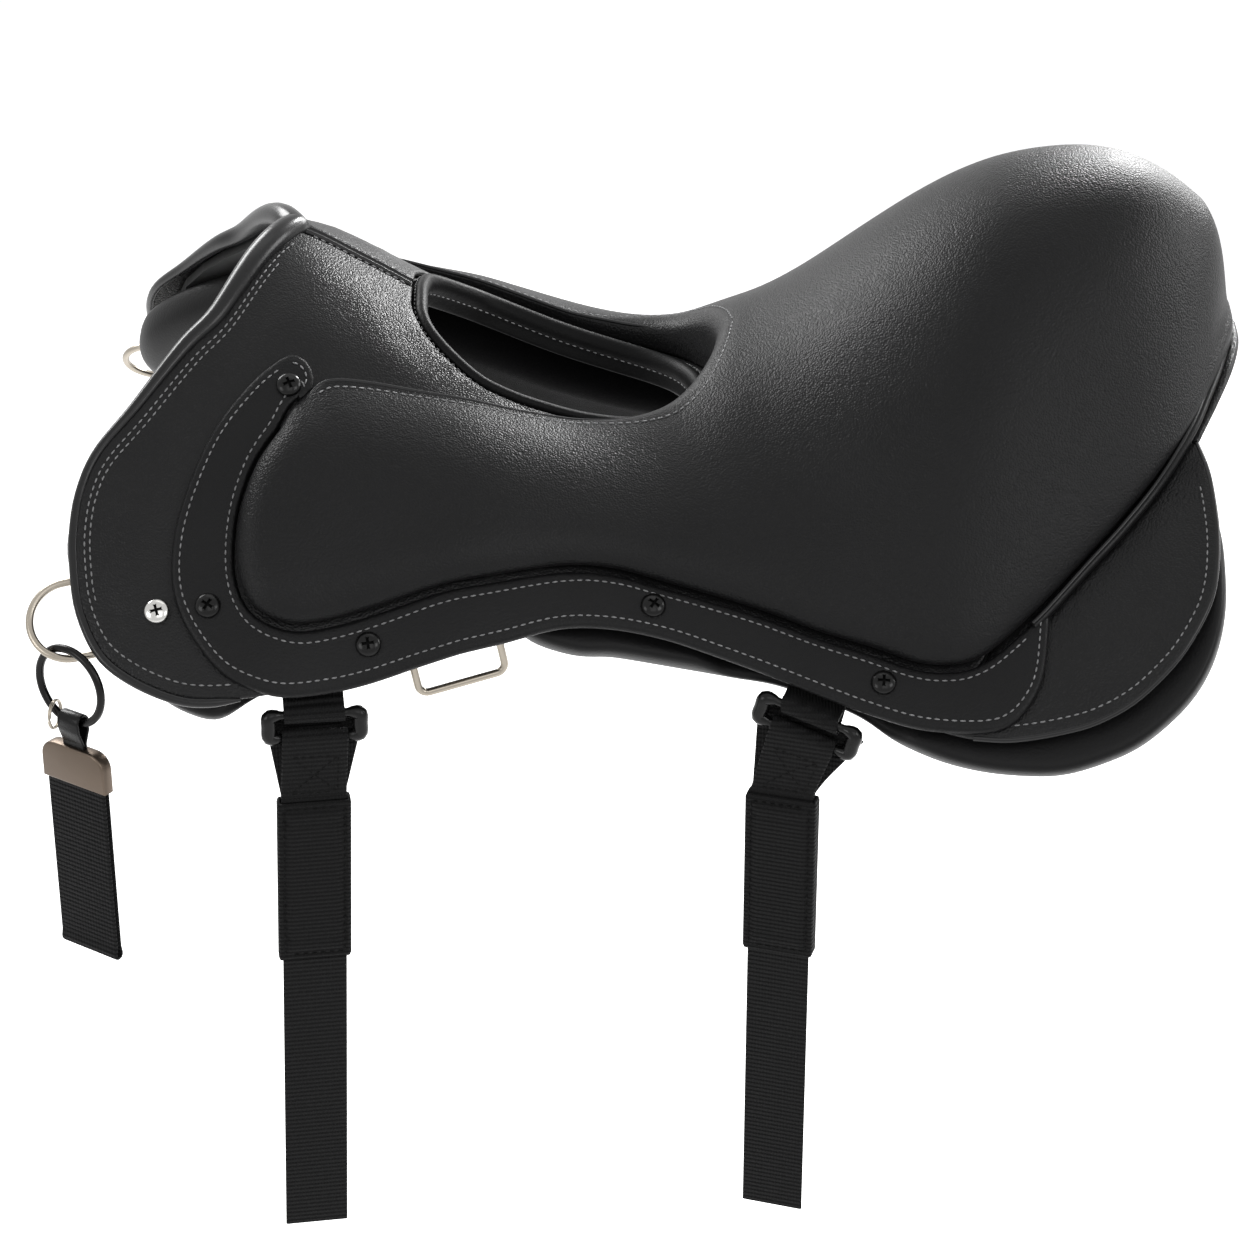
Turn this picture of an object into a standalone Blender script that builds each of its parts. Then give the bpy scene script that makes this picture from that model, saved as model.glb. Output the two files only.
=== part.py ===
"""Endurance saddle: tree, skirts, padded seat, panels, rails, rings and girth straps.

Metres, +Z up. X runs from pommel (-) to cantle (+), -Y is the near (left) side.
The origin is under the tree in the roof of the gullet, on the centre plane.

Every layer is laid on one ground surface, the top of the tree. A place on the saddle is
given by its plan position x, y and its depth d along the surface's normal.
"""

import math

import bmesh
import bpy
import numpy as np
from mathutils import Vector
from mathutils.geometry import delaunay_2d_cdt

MM = 0.001
GAP = 0.0006            # between two layers that lie on each other
FIT = 0.0003            # between a ring and what holds it

# Layers, measured along the surface's normal
TREE_THICK = 0.0056
LEATHER = 0.0022
RAIL_THICK = 0.0030
PANEL_THICK = 0.0240
CUSHION_THICK = 0.0135
COVER_THICK = 0.0020
CROWN = 0.0020          # how much a cushion swells in its middle
FOAM_SINK = 0.055       # share by which the seat's foam rises less than its cover

# Mesh steps
LAYER_STEP = 0.0230
SEAT_STEP = 0.0165
CORE_STEP = 0.0270
OUTLINE_STEP = 0.0145

# Ground surface: height of the centre line at stations along x, in millimetres
RIDGE = [(-260, 106), (-200, 104), (-154, 98), (-125, 83), (-93, 65), (-60, 49), (-30, 36),
         (0, 26), (33, 18), (100, 8), (178, 14), (250, 36), (300, 55)]
# How far the surface has dropped at FLAP_HALF from the centre, in millimetres
DROP = [(-260, 150), (-142, 147), (-60, 112), (0, 98), (60, 90), (120, 85), (260, 89), (300, 90)]
FLAP_HALF = 0.180
POMMEL_SLOPE = 1.2      # slope of the flaps under the pommel
POMMEL_ROUND = 0.060    # roundness of the pommel's ridge
POMMEL_BACK = -0.070    # x where the pommel's own shape starts
POMMEL_FULL = -0.190    # x where it is complete

# Height that the seat adds over its centre line, in millimetres
SEAT_RISE = [(-30, 0), (0, 1), (20, 6), (45, 21), (60, 29), (80, 43), (100, 58), (120, 72),
             (140, 84), (160, 93), (180, 98), (200, 98), (220, 94), (240, 85), (255, 74),
             (265, 65), (272, 57), (278, 48), (282, 39), (286, 24), (290, 0)]
SEAT_HALF = [(-180, 150), (-30, 131), (39, 134), (85, 143), (130, 156), (150, 158), (168, 152),
             (190, 138), (208, 125), (226, 112), (244, 97), (261, 76), (271, 59), (280, 41),
             (286, 24), (290, 8)]

# Outlines of one half in plan, in millimetres, y counted outward from the centre
FRONT_EDGE = [(-154, 5), (-165, 23), (-184, 54), (-200, 69), (-221, 91), (-238, 107),
              (-245, 120), (-247, 133), (-246, 144), (-243, 156), (-236, 167), (-227, 174),
              (-211, 180), (-193, 183), (-171, 182), (-151, 178)]
SKIRT_SEAM = [(-151, 178), (-164, 173), (-180, 166), (-192, 155), (-195, 140), (-190, 122),
              (-178, 107), (-160, 98.5), (-136, 95), (-100, 90), (-60, 82), (-34, 68), (-20, 55)]
SLOT_FRONT = [(-20, 55), (-38, 57), (-54, 58), (-70, 56), (-84, 48), (-95, 37), (-101, 24),
              (-102, 12), (-102, 5)]
SLOT = [(-99.5, 0), (-99, 12), (-98, 24), (-93, 35), (-82, 46), (-69, 54), (-54, 56),
        (-38, 55), (-20, 53), (0, 48), (14, 41), (26, 30), (33, 16), (36, 0)]
WAIST_EDGE = [(-151, 178), (-130, 173), (-101, 167.5), (-79, 164), (-57, 158.5), (-30, 149.5),
              (-7, 146.5), (16, 147.5), (39, 151.5), (62, 156.5), (84, 162.5), (107, 169.5),
              (131, 176)]
REAR_SEAM = [(131, 176), (148, 168), (164, 150), (185, 125), (210, 102), (235, 84), (250, 76),
             (263, 80)]
REAR_EDGE = [(263, 80), (266, 96), (267, 112), (267, 127), (265, 141), (261, 152), (252, 163),
             (242, 171), (226, 179), (209, 183), (193, 184), (171, 184), (154, 182), (131, 176)]
BACK_EDGE = [(263, 80), (276, 60), (286, 40), (292, 20), (294, 0)]
CUSHION_OUT = [(-142, 88), (-149, 92), (-157, 99), (-166, 110), (-172, 123), (-174, 135),
               (-173, 146), (-168, 154), (-160, 158), (-148, 159), (-130, 155), (-112, 151),
               (-93, 147), (-66, 141), (-30, 130), (-7, 127), (16, 129), (39, 132), (62, 136),
               (85, 142), (108, 148), (130, 155), (145, 157), (156, 156), (168, 151),
               (190, 137), (208, 124), (226, 111), (244, 96), (261, 75), (271, 58), (280, 40),
               (287, 20), (289, 0)]
CUSHION_IN = [(40.5, 0), (37, 18), (29, 33.5), (15, 45.5), (0, 53), (-20, 58), (-38, 60),
              (-52, 61.5), (-66, 66), (-86, 72), (-112, 77), (-130, 80.5), (-139, 84),
              (-142, 88)]
RAIL_OUT = [(-158, 73), (-170, 82), (-186, 98), (-196, 115), (-202, 131), (-203, 146),
            (-199, 157), (-190, 167), (-179, 175), (-166, 179), (-152, 179.5), (-130, 174.5),
            (-101, 169), (-79, 165.5), (-57, 160), (-30, 151), (-7, 148), (16, 149), (39, 153),
            (62, 158), (84, 164), (107, 171), (131, 177.5), (158, 180.5), (171, 179),
            (180, 173), (186, 165), (189, 153), (191, 139)]
RAIL_TOP = [(-149, 88), (-143, 82), (-145, 74), (-152, 70.5), (-158, 73)]
TREE_EDGE = [(-152, 0), (-162, 22), (-180, 52), (-196, 68), (-215, 88), (-226, 103),
             (-232, 118), (-233, 134), (-229, 148), (-220, 160), (-206, 166), (-188, 170),
             (-166, 171.5), (-150, 171.5), (-130, 167), (-101, 164), (-79, 161), (-57, 156),
             (-30, 147), (-7, 144), (16, 145), (39, 147.5), (62, 151), (84, 156.5), (107, 164),
             (131, 172), (155, 175), (175, 175), (198, 173), (218, 168), (234, 160),
             (246, 148), (253, 134), (255, 117), (254, 100), (257, 84), (267, 63), (278, 40),
             (285, 20), (287, 0)]
PANEL_EDGE = [(-150, 60), (-176, 68), (-204, 84), (-228, 99), (-245, 114), (-252, 127),
              (-253, 137), (-248, 147), (-239, 157), (-229, 165), (-218, 174), (-206, 181),
              (-193, 185), (-181, 186), (-168, 180), (-152, 174), (-128, 169), (-108, 161),
              (-96, 149), (-76, 144), (-56, 144), (-42, 152), (-20, 154), (-3, 152), (33, 153),
              (52, 154), (68, 155), (88, 160), (106, 167), (120, 176), (139, 184), (157, 189),
              (174, 192), (192, 194), (209, 193), (227, 190), (245, 182), (255, 174),
              (262, 163), (266, 149), (267, 130), (266, 114), (260, 93), (248, 70), (230, 50),
              (200, 41), (150, 38), (100, 40), (50, 48), (0, 62), (-60, 68), (-110, 66)]

# Fastenings, in plan, millimetres
RAIL_SCREWS = [(-154, 83), (-186, 155), (-115, 161), (11, 138), (115, 161)]
POINT_SCREW = (-209, 157)
SHANK_RADIUS = 0.0020
HEAD_RADIUS = 0.0058
HEAD_HEIGHT = 0.0032
DISC_RADIUS = 0.0050
DISC_HEIGHT = 0.0022

# Rolled edges
POMMEL_ROLL = 0.0050    # radius of the roll over the pommel
PIPING = 0.0018         # radius of the piping on the other edges
LIP_DEPTH = 0.0110      # how far the slot's lining reaches down

# Rings and webbing
DEE_WIRE = 0.0018
DEE_LENGTH = 0.0390
DEE_REACH = 0.0320
DEE_BAR = (-236.5, 157)
DEE_DEPTH = 0.0046
RING_WIRE = 0.0019
RING_RADIUS = 0.0183
RING_TURN = math.radians(34)
SPLIT_WIRE = 0.0006
SPLIT_RADIUS = 0.0064
SPLIT_PLACE = 0.0110
STIRRUP_WIRE = 0.0018
STIRRUP_DROP = 0.0190
STIRRUP_BAR = [(-99, 163.5), (-55, 153.5)]
STIRRUP_DEPTH = 0.0090
TAB_WIDTH = 0.0070
BUCKLE_BAR = 0.0020
BUCKLE_BOSS = 0.0036
BUCKLE_HEIGHT = 0.0115
WEB_WIDTH = 0.0300
WEB_THICK = 0.0016
SLEEVE_TOP = 0.0535
SLEEVE_LENGTH = 0.0820
SLEEVE_WALL = 0.0014
BARE_STEP = 0.0006      # how much nearer the horse the webbing lies below its sleeve
GIRTH_FRONT = dict(ends=[(-158, 177), (-119, 171)], outward=0.0088, down=0.0080, slant=0.037)
GIRTH_REAR = dict(ends=[(63, 156), (102, 168.5)], outward=0.0110, down=0.0030, slant=0.0)
CHAPE_DEPTH = 0.0082
STRAP_END = -0.341      # height of the cut ends of the near girth straps
OFF_STRAP_END = -0.220  # the same on the right, where they are short enough not to show
TAG_WIDTH = 0.0350
TAG_LENGTH = 0.1190
LOOP_WIDTH = 0.0125
LOOP_THICK = 0.0013
LOOP_SLACK = 0.0009     # how loosely the tag's loop lies round its ring
CLAMP_WIDTH = 0.0370
CLAMP_HEIGHT = 0.0190
CLAMP_WALL = 0.0011
CLAMP_TOP = 0.0120

TREE_HIGH = -0.0007
TREE_LOW = -TREE_THICK
BASE_LOW = GAP
BASE_HIGH = BASE_LOW + LEATHER
OVER_LOW = BASE_HIGH + GAP
RAIL_HIGH = OVER_LOW + RAIL_THICK
PANEL_HIGH = TREE_LOW - 2 * GAP


def clear_scene():
    for item in list(bpy.data.objects):
        bpy.data.objects.remove(item, do_unlink=True)


def material(name, colour, roughness, metallic=0.0):
    shade = bpy.data.materials.new(name)
    shade.use_nodes = True
    surface = shade.node_tree.nodes["Principled BSDF"]
    surface.inputs["Base Color"].default_value = (*colour, 1.0)
    surface.inputs["Roughness"].default_value = roughness
    surface.inputs["Metallic"].default_value = metallic
    shade.diffuse_color = (*colour, 1.0)
    return shade


def station_curve(stations):
    """Smooth curve through (x, value) stations in millimetres, as a function in metres."""
    xs = np.array([point[0] for point in stations]) * MM
    values = np.array([point[1] for point in stations]) * MM
    slopes = np.gradient(values, xs)

    def curve(x):
        x = np.clip(x, xs[0], xs[-1])
        i = np.clip(np.searchsorted(xs, x) - 1, 0, len(xs) - 2)
        width = xs[i + 1] - xs[i]
        t = (x - xs[i]) / width
        start = (2 * t ** 3 - 3 * t ** 2 + 1) * values[i] + (t ** 3 - 2 * t ** 2 + t) * width * slopes[i]
        end = (3 * t ** 2 - 2 * t ** 3) * values[i + 1] + (t ** 3 - t ** 2) * width * slopes[i + 1]
        return start + end

    return curve


ridge_height = station_curve(RIDGE)
flap_drop = station_curve(DROP)
seat_rise = station_curve(SEAT_RISE)
seat_half = station_curve(SEAT_HALF)


def ease(t):
    t = np.clip(t, 0.0, 1.0)
    return t * t * (3 - 2 * t)


def ground(x, y):
    """Height of the top of the tree."""
    pommel = ease((POMMEL_BACK - x) / (POMMEL_BACK - POMMEL_FULL))
    bowl = flap_drop(x) * (y / FLAP_HALF) ** 2
    roof = POMMEL_SLOPE * (np.sqrt(y * y + POMMEL_ROUND ** 2) - POMMEL_ROUND)
    return ridge_height(x) - (1 - pommel) * bowl - pommel * roof


def normal(x, y):
    step = 0.0002
    slope_x = (ground(x + step, y) - ground(x - step, y)) / (2 * step)
    slope_y = (ground(x, y + step) - ground(x, y - step)) / (2 * step)
    return Vector((-float(slope_x), -float(slope_y), 1.0)).normalized()


def place(x, y, depth, rise=0.0):
    """Point at a depth along the ground surface's normal, lifted straight up by rise."""
    return Vector((x, y, float(ground(x, y)) + rise)) + normal(x, y) * depth


def smooth_run(points, step, closed=False):
    """Catmull-Rom curve through plan points in millimetres, read at even steps in metres."""
    knots = np.array(points, dtype=float) * MM
    if closed:
        padded = np.vstack([knots[-1:], knots, knots[:2]])
    else:
        padded = np.vstack([2 * knots[0] - knots[1], knots, 2 * knots[-1] - knots[-2]])
    dense = []
    for a, b, c, d in zip(padded[:-3], padded[1:-2], padded[2:-1], padded[3:]):
        for t in np.linspace(0, 1, 12, endpoint=False):
            dense.append(0.5 * (2 * b + (c - a) * t + (2 * a - 5 * b + 4 * c - d) * t ** 2
                                + (3 * b - a - 3 * c + d) * t ** 3))
    dense.append(padded[-2])
    dense = np.array(dense)
    travel = np.concatenate([[0], np.cumsum(np.linalg.norm(np.diff(dense, axis=0), axis=1))])
    count = max(2, round(travel[-1] / step))
    marks = np.linspace(0, travel[-1], count + 1)
    run = np.stack([np.interp(marks, travel, dense[:, k]) for k in (0, 1)], axis=1)
    return run[:-1] if closed else run


def join_runs(*runs):
    """Closed outline from open runs that meet at their ends."""
    return np.vstack([run[:-1] for run in runs])


def both_sides(points):
    """Half outline that starts and ends on the centre line, made whole."""
    mirrored = [(x, -y) for x, y in reversed(points) if y > 0]
    return points + mirrored


def area(outline):
    x, y = outline[:, 0], outline[:, 1]
    return 0.5 * np.sum(x * np.roll(y, -1) - y * np.roll(x, -1))


def for_side(outline, side):
    """Outline given with y outward, turned to one side and run counter-clockwise."""
    turned = outline * np.array([1.0, side])
    return turned if area(turned) > 0 else turned[::-1]


def inset(outline, distance):
    """Outline moved inward by a distance, at each corner along its mean direction."""
    ahead = np.roll(outline, -1, axis=0) - outline
    ahead /= np.linalg.norm(ahead, axis=1)[:, None]
    behind = np.roll(ahead, 1, axis=0)
    mean = ahead + behind
    mean /= np.linalg.norm(mean, axis=1)[:, None]
    inward = np.stack([-mean[:, 1], mean[:, 0]], axis=1)
    lean = np.abs(inward[:, 0] * -ahead[:, 1] + inward[:, 1] * ahead[:, 0])
    sign = 1.0 if area(outline) > 0 else -1.0
    return outline + sign * inward * (distance / np.maximum(lean, 0.5))[:, None]


def distance_to(line, points, closed=True):
    """Least distance of each point to a line of plan points."""
    start = line if closed else line[:-1]
    end = np.roll(line, -1, axis=0) if closed else line[1:]
    way = end - start
    length = np.maximum(np.sum(way * way, axis=1), 1e-12)
    offset = points[:, None, :] - start[None, :, :]
    t = np.clip(np.sum(offset * way[None], axis=2) / length[None], 0, 1)
    return np.linalg.norm(offset - t[..., None] * way[None], axis=2).min(axis=1)


def inside(outline, points):
    x, y = points[:, 0][:, None], points[:, 1][:, None]
    x0, y0 = outline[:, 0][None], outline[:, 1][None]
    x1, y1 = np.roll(outline[:, 0], -1)[None], np.roll(outline[:, 1], -1)[None]
    crossing = (y0 > y) != (y1 > y)
    height = np.where(y1 == y0, 1.0, y1 - y0)
    return np.sum(crossing & (x < (x1 - x0) * (y - y0) / height + x0), axis=1) % 2 == 1


def circle(centre, radius, count=8):
    turn = np.arange(count) * 2 * math.pi / count
    return np.stack([centre[0] + radius * np.cos(turn), centre[1] + radius * np.sin(turn)], axis=1)


def fill(outline, holes, step, extra=()):
    """Triangles inside an outline: a staggered lattice, the outline's points and extra points."""
    low, high = outline.min(axis=0), outline.max(axis=0)
    row_height = step * math.sqrt(0.75)
    lattice = []
    for row in range(math.ceil(low[1] / row_height), math.floor(high[1] / row_height) + 1):
        shift = 0.5 * (row % 2)
        for column in range(math.ceil(low[0] / step - shift), math.floor(high[0] / step - shift) + 1):
            lattice.append(((column + shift) * step, row * row_height))
    points = np.array(lattice)
    loops = [outline, *holes]
    fixed = np.vstack([*loops, *extra]) if len(extra) else np.vstack(loops)
    keep = inside(outline, points)
    for loop in loops:
        keep &= distance_to(loop, points) > 0.55 * step
    for hole in holes:
        keep &= ~inside(hole, points)
    if len(extra):
        near = np.linalg.norm(points[:, None] - np.vstack(extra)[None], axis=2).min(axis=1)
        keep &= near > 0.6 * step
    edges = []
    first = 0
    for loop in loops:
        edges += [(first + i, first + (i + 1) % len(loop)) for i in range(len(loop))]
        first += len(loop)
    cloud = np.vstack([fixed, points[keep]])
    result = delaunay_2d_cdt([Vector(p) for p in cloud], edges, [], 0, 1e-7)
    plan = np.array([tuple(p) for p in result[0]])
    faces = np.array([face for face in result[2]])
    middle = plan[faces].mean(axis=1)
    good = inside(outline, middle)
    for hole in holes:
        good &= ~inside(hole, middle)
    return plan, faces[good]


def finish(name, mesh_source, shade, smooth=True):
    """Object with outward faces from a bmesh."""
    bmesh.ops.recalc_face_normals(mesh_source, faces=mesh_source.faces[:])
    mesh = bpy.data.meshes.new(name)
    mesh_source.to_mesh(mesh)
    mesh_source.free()
    mesh.materials.append(shade)
    if smooth:
        mesh.shade_smooth()
        mesh.set_sharp_from_angle(angle=math.radians(40))
    item = bpy.data.objects.new(name, mesh)
    bpy.context.scene.collection.objects.link(item)
    return item


def flat_sheet(sheet, plan, faces):
    vertices = [sheet.verts.new((x, y, 0.0)) for x, y in plan]
    for face in faces:
        sheet.faces.new([vertices[i] for i in face])
    return vertices


def slab(name, outline, holes, step, low, high, shade):
    """Layer between two heights, each a depth or a function of plan points."""
    plan, faces = fill(outline, holes, step)
    body = bmesh.new()
    flat_sheet(body, plan, faces)
    grown = bmesh.ops.extrude_face_region(body, geom=body.faces[:])
    upper = {v for v in grown["geom"] if isinstance(v, bmesh.types.BMVert)}
    for vertex in body.verts:
        height = high if vertex in upper else low
        depth = height(vertex.co.x, vertex.co.y) if callable(height) else height
        vertex.co = place(vertex.co.x, vertex.co.y, depth)
    return finish(name, body, shade)


def shell(name, outline, wall, steps, rim, outer, inner, shade, extra=()):
    """Open tray: an outer skin, its wall and an inner skin, joined at the rim.

    rim, outer and inner turn a plan point into a point in space.
    """
    body = bmesh.new()
    plan, faces = fill(outline, [], steps[0], extra)
    outer_vertices = flat_sheet(body, plan, faces)
    outline_in = inset(outline, wall)
    plan_in, faces_in = fill(outline_in, [], steps[1])
    inner_vertices = flat_sheet(body, plan_in, [face[::-1] for face in faces_in])
    outer_ring = outer_vertices[:len(outline)]
    inner_ring = inner_vertices[:len(outline)]
    rim_out = [body.verts.new(rim(*point)) for point in outline]
    rim_in = [body.verts.new(rim(*point)) for point in outline_in]
    count = len(outline)
    for first, second in ((outer_ring, rim_out), (rim_out, rim_in), (rim_in, inner_ring)):
        for i in range(count):
            body.faces.new([first[i], second[i], second[(i + 1) % count], first[(i + 1) % count]])
    for vertex, (x, y) in zip(outer_vertices, plan):
        vertex.co = outer(x, y)
    for vertex, (x, y) in zip(inner_vertices, plan_in):
        vertex.co = inner(x, y)
    return finish(name, body, shade)


def core(name, outline, wall, step, low, high, shade):
    """Filling of a tray, its plan mesh the same as that of the tray's inner skin.

    low and high turn a plan point into a point in space, with the depth read at another.
    """
    border = inset(outline, wall + GAP)
    plan, faces = fill(inset(outline, wall), [], step)
    body = bmesh.new()
    vertices = flat_sheet(body, plan, faces)
    moved = {tuple(vertex.co.xy): new for vertex, new in zip(vertices, border)}
    grown = bmesh.ops.extrude_face_region(body, geom=body.faces[:])
    upper = {v for v in grown["geom"] if isinstance(v, bmesh.types.BMVert)}
    for vertex in body.verts:
        read = tuple(vertex.co.xy)
        x, y = moved.get(read, read)
        vertex.co = (high if vertex in upper else low)(x, y, read)
    return finish(name, body, shade)


def loft(name, rings, shade, cyclic=False, smooth=True):
    """Body through closed rings of points; its ends are capped unless it is cyclic."""
    body = bmesh.new()
    loops = [[body.verts.new(point) for point in ring] for ring in rings]
    pairs = list(zip(loops, loops[1:] + loops[:1])) if cyclic else list(zip(loops, loops[1:]))
    for first, second in pairs:
        for i in range(len(first)):
            j = (i + 1) % len(first)
            body.faces.new([first[i], first[j], second[j], second[i]])
    if not cyclic:
        body.faces.new(loops[0])
        body.faces.new(loops[-1])
    return finish(name, body, shade, smooth)


def webbing(name, rings, shade):
    """Body of a strip whose rings come from band(), with its two edges closed along the path."""
    body = bmesh.new()
    loops = [[body.verts.new(point) for point in ring] for ring in rings]
    count = len(loops[0])
    for first, second in zip(loops, loops[1:]):
        for i in range(count):
            j = (i + 1) % count
            body.faces.new([first[i], first[j], second[j], second[i]])
    for loop in (loops[0], loops[-1]):
        for i in range(count // 2 - 1):
            body.faces.new([loop[i], loop[i + 1], loop[count - 2 - i], loop[count - 1 - i]])
    return finish(name, body, shade, smooth=False)


def wire(name, points, radii, shade, closed, sides=2):
    """Round wire along points, with one radius for each or one for all."""
    curve = bpy.data.curves.new(name, "CURVE")
    curve.dimensions = "3D"
    widest = max(radii) if isinstance(radii, list) else radii
    curve.bevel_depth = widest
    curve.bevel_resolution = sides
    curve.use_fill_caps = not closed
    spline = curve.splines.new("POLY")
    spline.points.add(len(points) - 1)
    for index, point in enumerate(points):
        spline.points[index].co = (*point, 1.0)
        if isinstance(radii, list):
            spline.points[index].radius = radii[index] / widest
    spline.use_cyclic_u = closed
    curve.materials.append(shade)
    item = bpy.data.objects.new(name, curve)
    bpy.context.scene.collection.objects.link(item)
    return item


def set_origin(item, point):
    """Put an object's origin on its joint's axis without moving its shape."""
    shift = Vector(point)
    if item.type == "CURVE":
        for spline in item.data.splines:
            for knot in spline.points:
                knot.co = (*(knot.co.xyz - shift), 1.0)
    else:
        for vertex in item.data.vertices:
            vertex.co -= shift
    item.location = shift


def band(path, thickness):
    """Closed profile of a strip of a thickness along an open path of 2-D points."""
    path = np.array(path, dtype=float)
    way = np.gradient(path, axis=0)
    way /= np.linalg.norm(way, axis=1)[:, None]
    across = np.stack([-way[:, 1], way[:, 0]], axis=1) * thickness / 2
    return np.vstack([path + across, (path - across)[::-1]])


def arc(centre, radius, start, end, count):
    """2-D points along an arc, with angles in degrees."""
    turn = np.radians(np.linspace(start, end, count))
    return [(centre[0] + radius * math.cos(t), centre[1] + radius * math.sin(t)) for t in turn]


class Frame:
    """Local frame: u across the width, v outward, z up, about a point."""

    def __init__(self, point, u, v):
        self.point = Vector(point)
        self.u = Vector(u).normalized()
        self.v = Vector(v).normalized()

    def at(self, u, v, z):
        return self.point + self.u * u + self.v * v + Vector((0, 0, z))


def strip_rings(frame, profile, widths, lean=None, drift=None):
    """Two end rings of a strip.

    lean(z) tells how much the strip climbs along its width, drift(z) how far it lies aside.
    """
    rings = []
    for sign in (-1, 1):
        ring = []
        for index, (v, z) in enumerate(profile):
            half = widths[index] / 2 if isinstance(widths, list) else widths / 2
            climb = lean(z) * sign * half if lean else 0.0
            aside = drift(z) if drift else 0.0
            ring.append(frame.at(aside + sign * half, v, z + climb))
        rings.append(ring)
    return rings


def black(name, level, roughness):
    return material(name, (level, level, level * 1.03), roughness)


def make_tree():
    outline = smooth_run(both_sides(TREE_EDGE), OUTLINE_STEP * 1.2, closed=True)
    outline = for_side(outline, 1)
    slot = for_side(inset(smooth_run(both_sides(SLOT), OUTLINE_STEP, closed=True), -0.0032), 1)
    holes = [slot]
    for x, y in [*RAIL_SCREWS, POINT_SCREW]:
        for side in (-1, 1):
            holes.append(circle((x * MM, side * y * MM), SHANK_RADIUS + FIT))
    slab("tree", outline, holes, LAYER_STEP, TREE_LOW, TREE_HIGH,
         material("tree_plastic", (0.03, 0.03, 0.032), 0.6))


def make_gullet_plate():
    """Steel arch under the front of the tree, between the two panels."""
    half = 0.050
    rings = []
    for y in np.linspace(-half, half, 13):
        corners = [(-0.146, TREE_LOW - 0.0014), (-0.120, TREE_LOW - 0.0014),
                   (-0.120, TREE_LOW - 0.0040), (-0.146, TREE_LOW - 0.0040)]
        rings.append([place(x, float(y), d) for x, d in corners])
    loft("gullet_plate", rings, material("plate_steel", (0.35, 0.35, 0.36), 0.4, 1.0))


def screw_holes(side, points, radius):
    return [circle((x * MM, side * y * MM), radius) for x, y in points]


def make_base_leather():
    """Front skirts, ground seat leather, rear skirts and the strip down the pommel."""
    hole = SHANK_RADIUS + FIT
    front = join_runs(smooth_run(FRONT_EDGE, OUTLINE_STEP), smooth_run(SKIRT_SEAM, OUTLINE_STEP),
                      smooth_run(SLOT_FRONT, OUTLINE_STEP),
                      smooth_run([(-102, 5), (-154, 5)], OUTLINE_STEP))
    rear = join_runs(smooth_run(REAR_SEAM, OUTLINE_STEP), smooth_run(REAR_EDGE, OUTLINE_STEP))
    for side, word in ((-1, "left"), (1, "right")):
        outline = inset(for_side(front, side), 0.0004)
        front_screws = screw_holes(side, [RAIL_SCREWS[0], POINT_SCREW], hole)
        slab(f"front_skirt_{word}", outline, front_screws, LAYER_STEP, BASE_LOW, BASE_HIGH,
             black(f"skirt_leather_{word}", 0.018, 0.42))
        outline = inset(for_side(rear, side), 0.0004)
        slab(f"rear_skirt_{word}", outline, [], LAYER_STEP, BASE_LOW, BASE_HIGH,
             black(f"rear_leather_{word}", 0.016, 0.5))
    slot_back = [(x, y) for x, y in SLOT if x >= 0]
    seam = smooth_run(SKIRT_SEAM, OUTLINE_STEP)
    around = [smooth_run([(40, 0), *reversed([(x + 3, y + 2) for x, y in slot_back[:-1]]), (-20, 55)],
                         OUTLINE_STEP), seam[::-1], smooth_run(WAIST_EDGE, OUTLINE_STEP),
              smooth_run(REAR_SEAM, OUTLINE_STEP), smooth_run(BACK_EDGE, OUTLINE_STEP)]
    half = np.vstack([run[:-1] for run in around] + [around[-1][-1:]])
    mirrored = half[::-1][1:-1] * np.array([1.0, -1.0])
    outline = inset(for_side(np.vstack([half, mirrored]), 1), 0.0004)
    holes = []
    for side in (-1, 1):
        holes += screw_holes(side, RAIL_SCREWS[1:], hole)
    slab("seat_base", outline, holes, LAYER_STEP, BASE_LOW, BASE_HIGH, black("base_leather", 0.018, 0.45))
    profile = [(-4.2, -0.2), (-4.2, 2.6), (-3.8, 4.0), (-2.9, 4.4), (-2.0, 4.0), (-1.6, 2.9)]
    profile = profile + [(-y, d) for y, d in reversed(profile)]
    rings = [[place(x, y * MM, d * MM) for y, d in profile] for x in np.linspace(-0.1520, -0.1035, 8)]
    loft("centre_strip", rings, black("strip_leather", 0.02, 0.3))


def edge_frame(run, index, side):
    """Direction along a run of plan points and the outward direction on the surface."""
    before = run[max(index - 1, 0)]
    after = run[min(index + 1, len(run) - 1)]
    a = place(before[0], before[1] * side, 0.0)
    b = place(after[0], after[1] * side, 0.0)
    along = (b - a).normalized()
    up = normal(run[index][0], run[index][1] * side)
    return along, along.cross(up).normalized() * -side, up


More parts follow.
